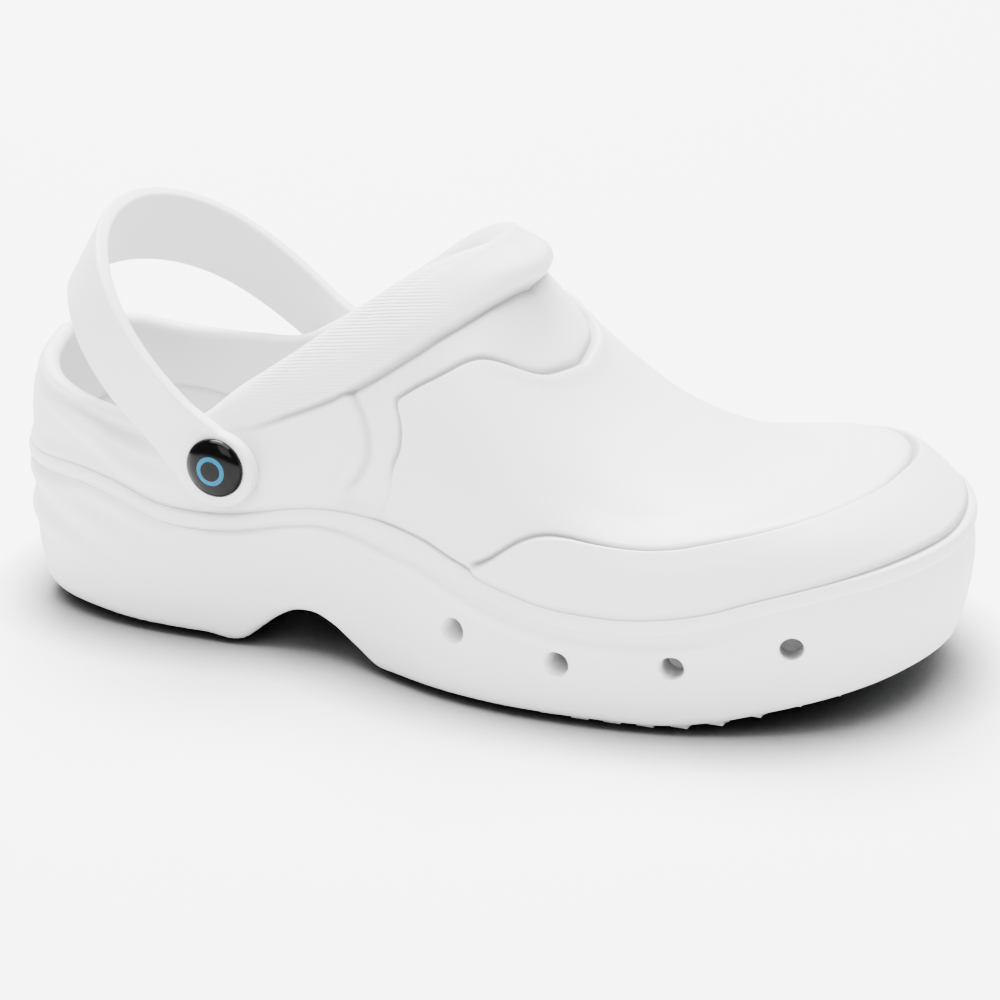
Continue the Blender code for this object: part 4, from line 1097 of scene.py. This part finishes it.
@dataclass
class LugField:
    """Rounded tread blocks, one for each spot, placed by geometry nodes."""

    spots: list[tuple[Vector, Vector]]
    bevel: float = 0.10

    def block(self) -> bpy.types.Object:
        """Unit block with softened edges."""
        bm = bmesh.new()
        bmesh.ops.create_cube(bm, size=1.0)
        bmesh.ops.bevel(bm, geom=bm.edges, offset=self.bevel, segments=2, affect="EDGES")
        mesh = bpy.data.meshes.new("lug_block")
        bm.to_mesh(mesh)
        bm.free()
        return put("lug_block", mesh)

    def tree(self) -> bpy.types.NodeTree:
        """Geometry nodes: an instance on each point, scaled by the point's size."""
        tree = bpy.data.node_groups.new("lug_field", "GeometryNodeTree")
        face = tree.interface
        face.new_socket("Points", in_out="INPUT", socket_type="NodeSocketGeometry")
        face.new_socket("Block", in_out="INPUT", socket_type="NodeSocketObject")
        face.new_socket("Material", in_out="INPUT", socket_type="NodeSocketMaterial")
        face.new_socket("Lugs", in_out="OUTPUT", socket_type="NodeSocketGeometry")
        new, link = tree.nodes.new, tree.links.new
        start, stop = new("NodeGroupInput"), new("NodeGroupOutput")
        info, size = new("GeometryNodeObjectInfo"), new("GeometryNodeInputNamedAttribute")
        size.data_type = "FLOAT_VECTOR"
        size.inputs["Name"].default_value = "size"
        place, real = new("GeometryNodeInstanceOnPoints"), new("GeometryNodeRealizeInstances")
        finish = new("GeometryNodeSetMaterial")
        link(start.outputs["Points"], place.inputs["Points"])
        link(start.outputs["Block"], info.inputs["Object"])
        link(info.outputs["Geometry"], place.inputs["Instance"])
        link(size.outputs["Attribute"], place.inputs["Scale"])
        link(place.outputs["Instances"], real.inputs["Geometry"])
        link(real.outputs["Geometry"], finish.inputs["Geometry"])
        link(start.outputs["Material"], finish.inputs["Material"])
        link(finish.outputs["Geometry"], stop.inputs["Lugs"])
        return tree

    def build(self) -> bpy.types.Object:
        """All blocks as one plain mesh."""
        block = self.block()
        points = to_object("lugs", np.array([tuple(s[0]) for s in self.spots]), [])
        sizes = points.data.attributes.new("size", "FLOAT_VECTOR", "POINT")
        sizes.data.foreach_set("vector", np.array([tuple(s[1]) for s in self.spots]).ravel())
        nodes = points.modifiers.new("lugs", "NODES")
        nodes.node_group = self.tree()
        for item in nodes.node_group.interface.items_tree:
            if item.name == "Block" and item.in_out == "INPUT":
                nodes[item.identifier] = block
        points.data = evaluated(points)
        points.modifiers.clear()
        bpy.data.objects.remove(block, do_unlink=True)
        return points


@dataclass
class Insole:
    """Loose foam foot-bed in the cup."""

    last: Last
    finish: Foam
    columns: int = 360
    thick: float = 0.0035
    clear: float = 0.0024

    def build(self) -> bpy.types.Object:
        """The insole as one closed body, its edge raised a little."""
        place, side = self.last.columns(self.columns)
        line = self.last.point(place, side)
        into = inward(line)
        edge = SIZES.rim_land + self.clear
        rings = []
        for inset, lift in ((0.0200, 0.0003), (edge + 0.0020, 0.0003), (edge, 0.0013),
                            (edge, 0.0032), (edge + 0.0004, 0.0037), (edge + 0.0012, 0.0039),
                            (edge + 0.0024, 0.0038), (edge + 0.0050, 0.0036),
                            (edge + 0.0090, 0.0034), (0.0200, 0.0034)):
            ring = line + into[:, :2] * inset
            rings.append(flat(ring, floor_height(ring[:, 0]) + lift))
        return to_object("foot_bed", np.vstack(rings),
                         skin_faces(len(rings), self.columns, Ends.FILLED))


@dataclass
class HeelStrap:
    """The band raised behind the collar, with a round end about each button."""

    finish: Foam
    rise: float = math.radians(45.0)
    reach: float = 0.0745
    square: float = 2.05
    bulge: float = 0.24
    twist: float = 0.24
    wide: float = 0.0174
    wide_back: float = 0.0268
    thick: float = 0.0042
    end: float = 0.0238
    sag: float = 0.0030
    stations: int = 220

    def section(self) -> list[tuple[float, float, float]]:
        """Rounded section: share of half width, inset from the edge, share of half thickness."""
        soft = 0.0011
        corner = [(math.cos(t), math.sin(t)) for t in np.linspace(0, math.pi / 2, 6)]
        points = []
        for sa, st, order in ((1, 1, 1), (-1, 1, -1), (-1, -1, 1), (1, -1, -1)):
            points += [(sa, soft * (1 - c), st * (1 - soft / (self.thick / 2) * (1 - s)))
                       for c, s in corner[::order]]
        return points

    def line(self) -> np.ndarray:
        """Even stations along the band: distance across and reach from the buttons."""
        turn = np.linspace(0, math.pi, self.stations)
        c, lift = np.cos(turn), np.abs(np.sin(turn)) ** (2 / self.square)
        line = np.c_[-SIZES.half_gap * np.sign(c) * np.abs(c) ** (2 / self.square)
                     * (1 + self.bulge * ease(lift, 0.13, 1.0)), self.reach * lift]
        fine = np.r_[0, np.cumsum(np.linalg.norm(np.diff(line, axis=0), axis=1))]
        even = np.linspace(0, fine[-1], self.stations)
        return np.c_[np.interp(even, fine, line[:, 0]), np.interp(even, fine, line[:, 1])]

    def rows(self) -> list[tuple[float, ...]]:
        """Rows of distance across, reach, outward y and reach, half width, lift and drop."""
        line, radius = self.line(), self.end / 2
        lift = line[:, 1] / self.reach
        ahead = np.gradient(line, axis=0)
        ahead /= np.linalg.norm(ahead, axis=1)[:, None]
        grown = (self.wide_back - self.wide) * (1 - 0.5 * ease(-line[:, 0], 0.0, 0.034))
        half = (self.wide + grown * lift ** 2.2) / 2
        drop = self.wide / 2 - half
        neck = (radius - half) * (1 - ease(line[:, 1], radius * 0.5, radius * 1.7))
        half = np.maximum(np.sqrt(np.clip(radius ** 2 - line[:, 1] ** 2, 0, None)),
                          half + neck * 0.5)
        tips = radius * np.sin(np.radians(np.linspace(88, 4, 22)))
        start, stop = ([(line[end, 0], -tip, facing, 0.0, math.sqrt(radius ** 2 - tip ** 2), 0.0, 0.0)
                        for tip in tips] for end, facing in ((0, -1.0), (-1, 1.0)))
        return [*start, *zip(line[:, 0], line[:, 1], -ahead[:, 1], ahead[:, 0], half, lift, drop),
                *stop[::-1]]

    def build(self) -> bpy.types.Object:
        """The strap as one closed body."""
        away = np.array([-math.cos(self.rise), 0.0, math.sin(self.rise)])
        across = np.array([math.sin(self.rise), 0.0, math.cos(self.rise)])
        y = np.array([0.0, 1.0, 0.0])
        rows, shape, verts = self.rows(), self.section(), []
        for near, reach, out_y, out_reach, half, lift, drop in rows:
            slide = (SIZES.pivot_inner - SIZES.pivot_outer) * (1 - lift) * (near > 0)
            pivot = np.array([SIZES.pivot_outer + slide, 0.0, SIZES.pivot_up])
            out = away * out_reach + y * out_y
            lean = self.twist * lift ** 2.2
            wise = across * math.cos(lean) + out * math.sin(lean)
            thick = (out * math.cos(lean) - across * math.sin(lean)) * self.thick / 2
            fall = self.sag * float(hump(reach - 0.024, 0.044)) * (near < 0)
            middle = pivot - across * fall + away * reach + y * near
            verts += [middle + thick * t + wise * (a * max(half - inset, half * 0.3) + drop)
                      for a, inset, t in shape]
        n, last = len(shape), (len(rows) - 1) * len(shape)
        faces = skin_faces(len(rows), n, Ends.JOINED)[:last]
        faces += [tuple(range(n))[::-1], tuple(range(last, last + n))]
        return to_object("raised_strap", np.array(verts), faces)


@dataclass
class Button:
    """Domed button over the strap's end, its shank and the flange inside the wall."""

    side: Side
    cap: Gloss
    ring: Gloss
    wide: float = 0.0176
    tall: float = 0.0034
    ring_in: float = 0.0030
    ring_out: float = 0.0043
    seats: dict[Side, float] = field(
        default_factory=lambda: {Side.OUTER: 0.03382, Side.INNER: 0.03297})

    def build(self) -> bpy.types.Object:
        """The button as one closed body with a plain ring let into its dome."""
        half = self.wide / 2
        face = SIZES.half_gap + 0.0021 + SIZES.gap
        deep = face - self.seats[self.side] + 0.0034
        radii = sorted({*(half * math.sin(t) for t in np.linspace(0, math.pi / 2, 16)),
                        self.ring_in, self.ring_out})
        rows = [(r, self.tall * (0.12 + 0.88 * math.sqrt(max(0.0, 1 - (r / half) ** 2.4))))
                for r in radii]
        ringed = [k for k, (r, _) in enumerate(rows) if self.ring_in <= r < self.ring_out - 1e-6]
        rows += [(half, 0.0), (half - 0.0004, -0.0001), (0.0032, -0.0001), (0.0032, -deep),
                 (0.0060, -deep), (0.0060, -deep - 0.0014), (0.0, -deep - 0.0014)]
        along = SIZES.pivot_outer if self.side is Side.OUTER else SIZES.pivot_inner
        obj = lathe(f"button_{self.side.name.lower()}", rows,
                    Vector((along, self.side.value * face, SIZES.pivot_up)),
                    Vector((0, self.side.value, 0)))
        obj.data.materials.append(self.cap.build())
        obj.data.materials.append(self.ring.build())
        for k in ringed:
            for polygon in obj.data.polygons[k * 72:(k + 1) * 72]:
                polygon.material_index = 1
        return obj


# The studio


@dataclass
class Studio:
    """Camera, floor and soft light."""

    azimuth: float = math.radians(25.0)
    elevation: float = math.radians(22.8)
    roll: float = math.radians(-2.93)
    distance: float = 1.117
    focal_pixels: float = 4120.0
    target: tuple[float, float, float] = (0.1680, -0.0504, 0.0616)
    image: float = 1000.0

    def camera(self) -> None:
        """The photograph's view."""
        a, e, r = self.azimuth, self.elevation, self.roll
        back = Vector((math.sin(a) * math.cos(e), -math.cos(a) * math.cos(e), math.sin(e)))
        right = Vector((math.cos(a), math.sin(a), 0.0))
        up = back.cross(right)
        across = right * math.cos(r) + up * math.sin(r)
        above = up * math.cos(r) - right * math.sin(r)
        turn = Matrix((across, above, back)).transposed().to_4x4()
        spot = Vector(self.target) + Vector(SIZES.shift) + back * self.distance
        data = bpy.data.cameras.new("camera")
        data.sensor_width = 36.0
        data.lens = self.focal_pixels / self.image * 36.0
        data.clip_start, data.clip_end = 0.01, 100.0
        camera = put("camera", data)
        camera.matrix_world = Matrix.Translation(spot) @ turn
        bpy.context.scene.camera = camera

    def floor(self) -> None:
        """A wide plain floor."""
        mesh = bpy.data.meshes.new("floor")
        mesh.from_pydata([(-6, -6, 0), (6, -6, 0), (6, 6, 0), (-6, 6, 0)], [], [(0, 1, 2, 3)])
        mesh.materials.append(floor_material())
        put("floor", mesh)

    def light(self, name: str, spot: Vector, aim: Vector, wide: float, power: float) -> None:
        """A square soft light."""
        data = bpy.data.lights.new(name, "AREA")
        data.shape, data.size, data.energy = "SQUARE", wide, power
        turn = (spot - aim).to_track_quat("Z", "Y").to_matrix().to_4x4()
        put(name, data).matrix_world = Matrix.Translation(spot) @ turn

    def build(self) -> None:
        """Set up the whole studio."""
        self.camera()
        self.floor()
        world = bpy.data.worlds.new("studio")
        bpy.context.scene.world = world
        world.use_nodes = True
        background = world.node_tree.nodes["Background"]
        background.inputs["Color"].default_value = (1.0, 1.0, 1.0, 1.0)
        background.inputs["Strength"].default_value = 0.4
        aim = Vector((0.0, 0.0, 0.05))
        self.light("key", Vector((-0.5, 0.9, 1.7)), aim, 1.0, 145.0)
        self.light("top", Vector((0.0, 0.2, 2.6)), aim, 3.0, 360.0)
        self.light("front", Vector((0.4, -1.8, 1.3)), aim, 1.4, 32.0)


def place(obj: bpy.types.Object, node: str, slot: str, *finish: Foam) -> None:
    """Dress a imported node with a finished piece."""
    if finish:
        obj.data.materials.clear()
        obj.data.materials.append(finish[0].build())
    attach(obj, "root")
    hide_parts(node)


def main() -> None:
    """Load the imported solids, dress them and set up the studio."""
    logging.basicConfig(level=logging.INFO)
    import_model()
    last = Last()
    upper = Upper(last, Foam("white_foam_upper", (0.77, 0.772, 0.777), 0.46, 0.45, True))
    sole = Sole(last, Foam("white_foam_sole", (0.77, 0.772, 0.777), 0.50, 0.60))
    insole = Insole(last, Foam("white_foam_bed", (0.74, 0.742, 0.75), 0.72, 1.0))
    strap = HeelStrap(Foam("white_foam_strap", (0.77, 0.772, 0.777), 0.46, 0.45))
    place(upper.build(), "upper", "white_upper", upper.finish)
    place(sole.build(), "sole", "white_sole", sole.finish)
    place(insole.build(), "insole", "white_insole", insole.finish)
    place(strap.build(), "heel_strap", "white_strap", strap.finish)
    black = Gloss("black_gloss", (0.0009, 0.0009, 0.001), 0.12)
    blue = Gloss("blue_ring", (0.0004, 0.105, 0.185), 0.35)
    place(Button(Side.OUTER, black, blue).build(), "rivet_outer", "button_outer")
    place(Button(Side.INNER, black, blue).build(), "rivet_inner", "button_inner")
    Studio().build()


if __name__ == "__main__":
    main()
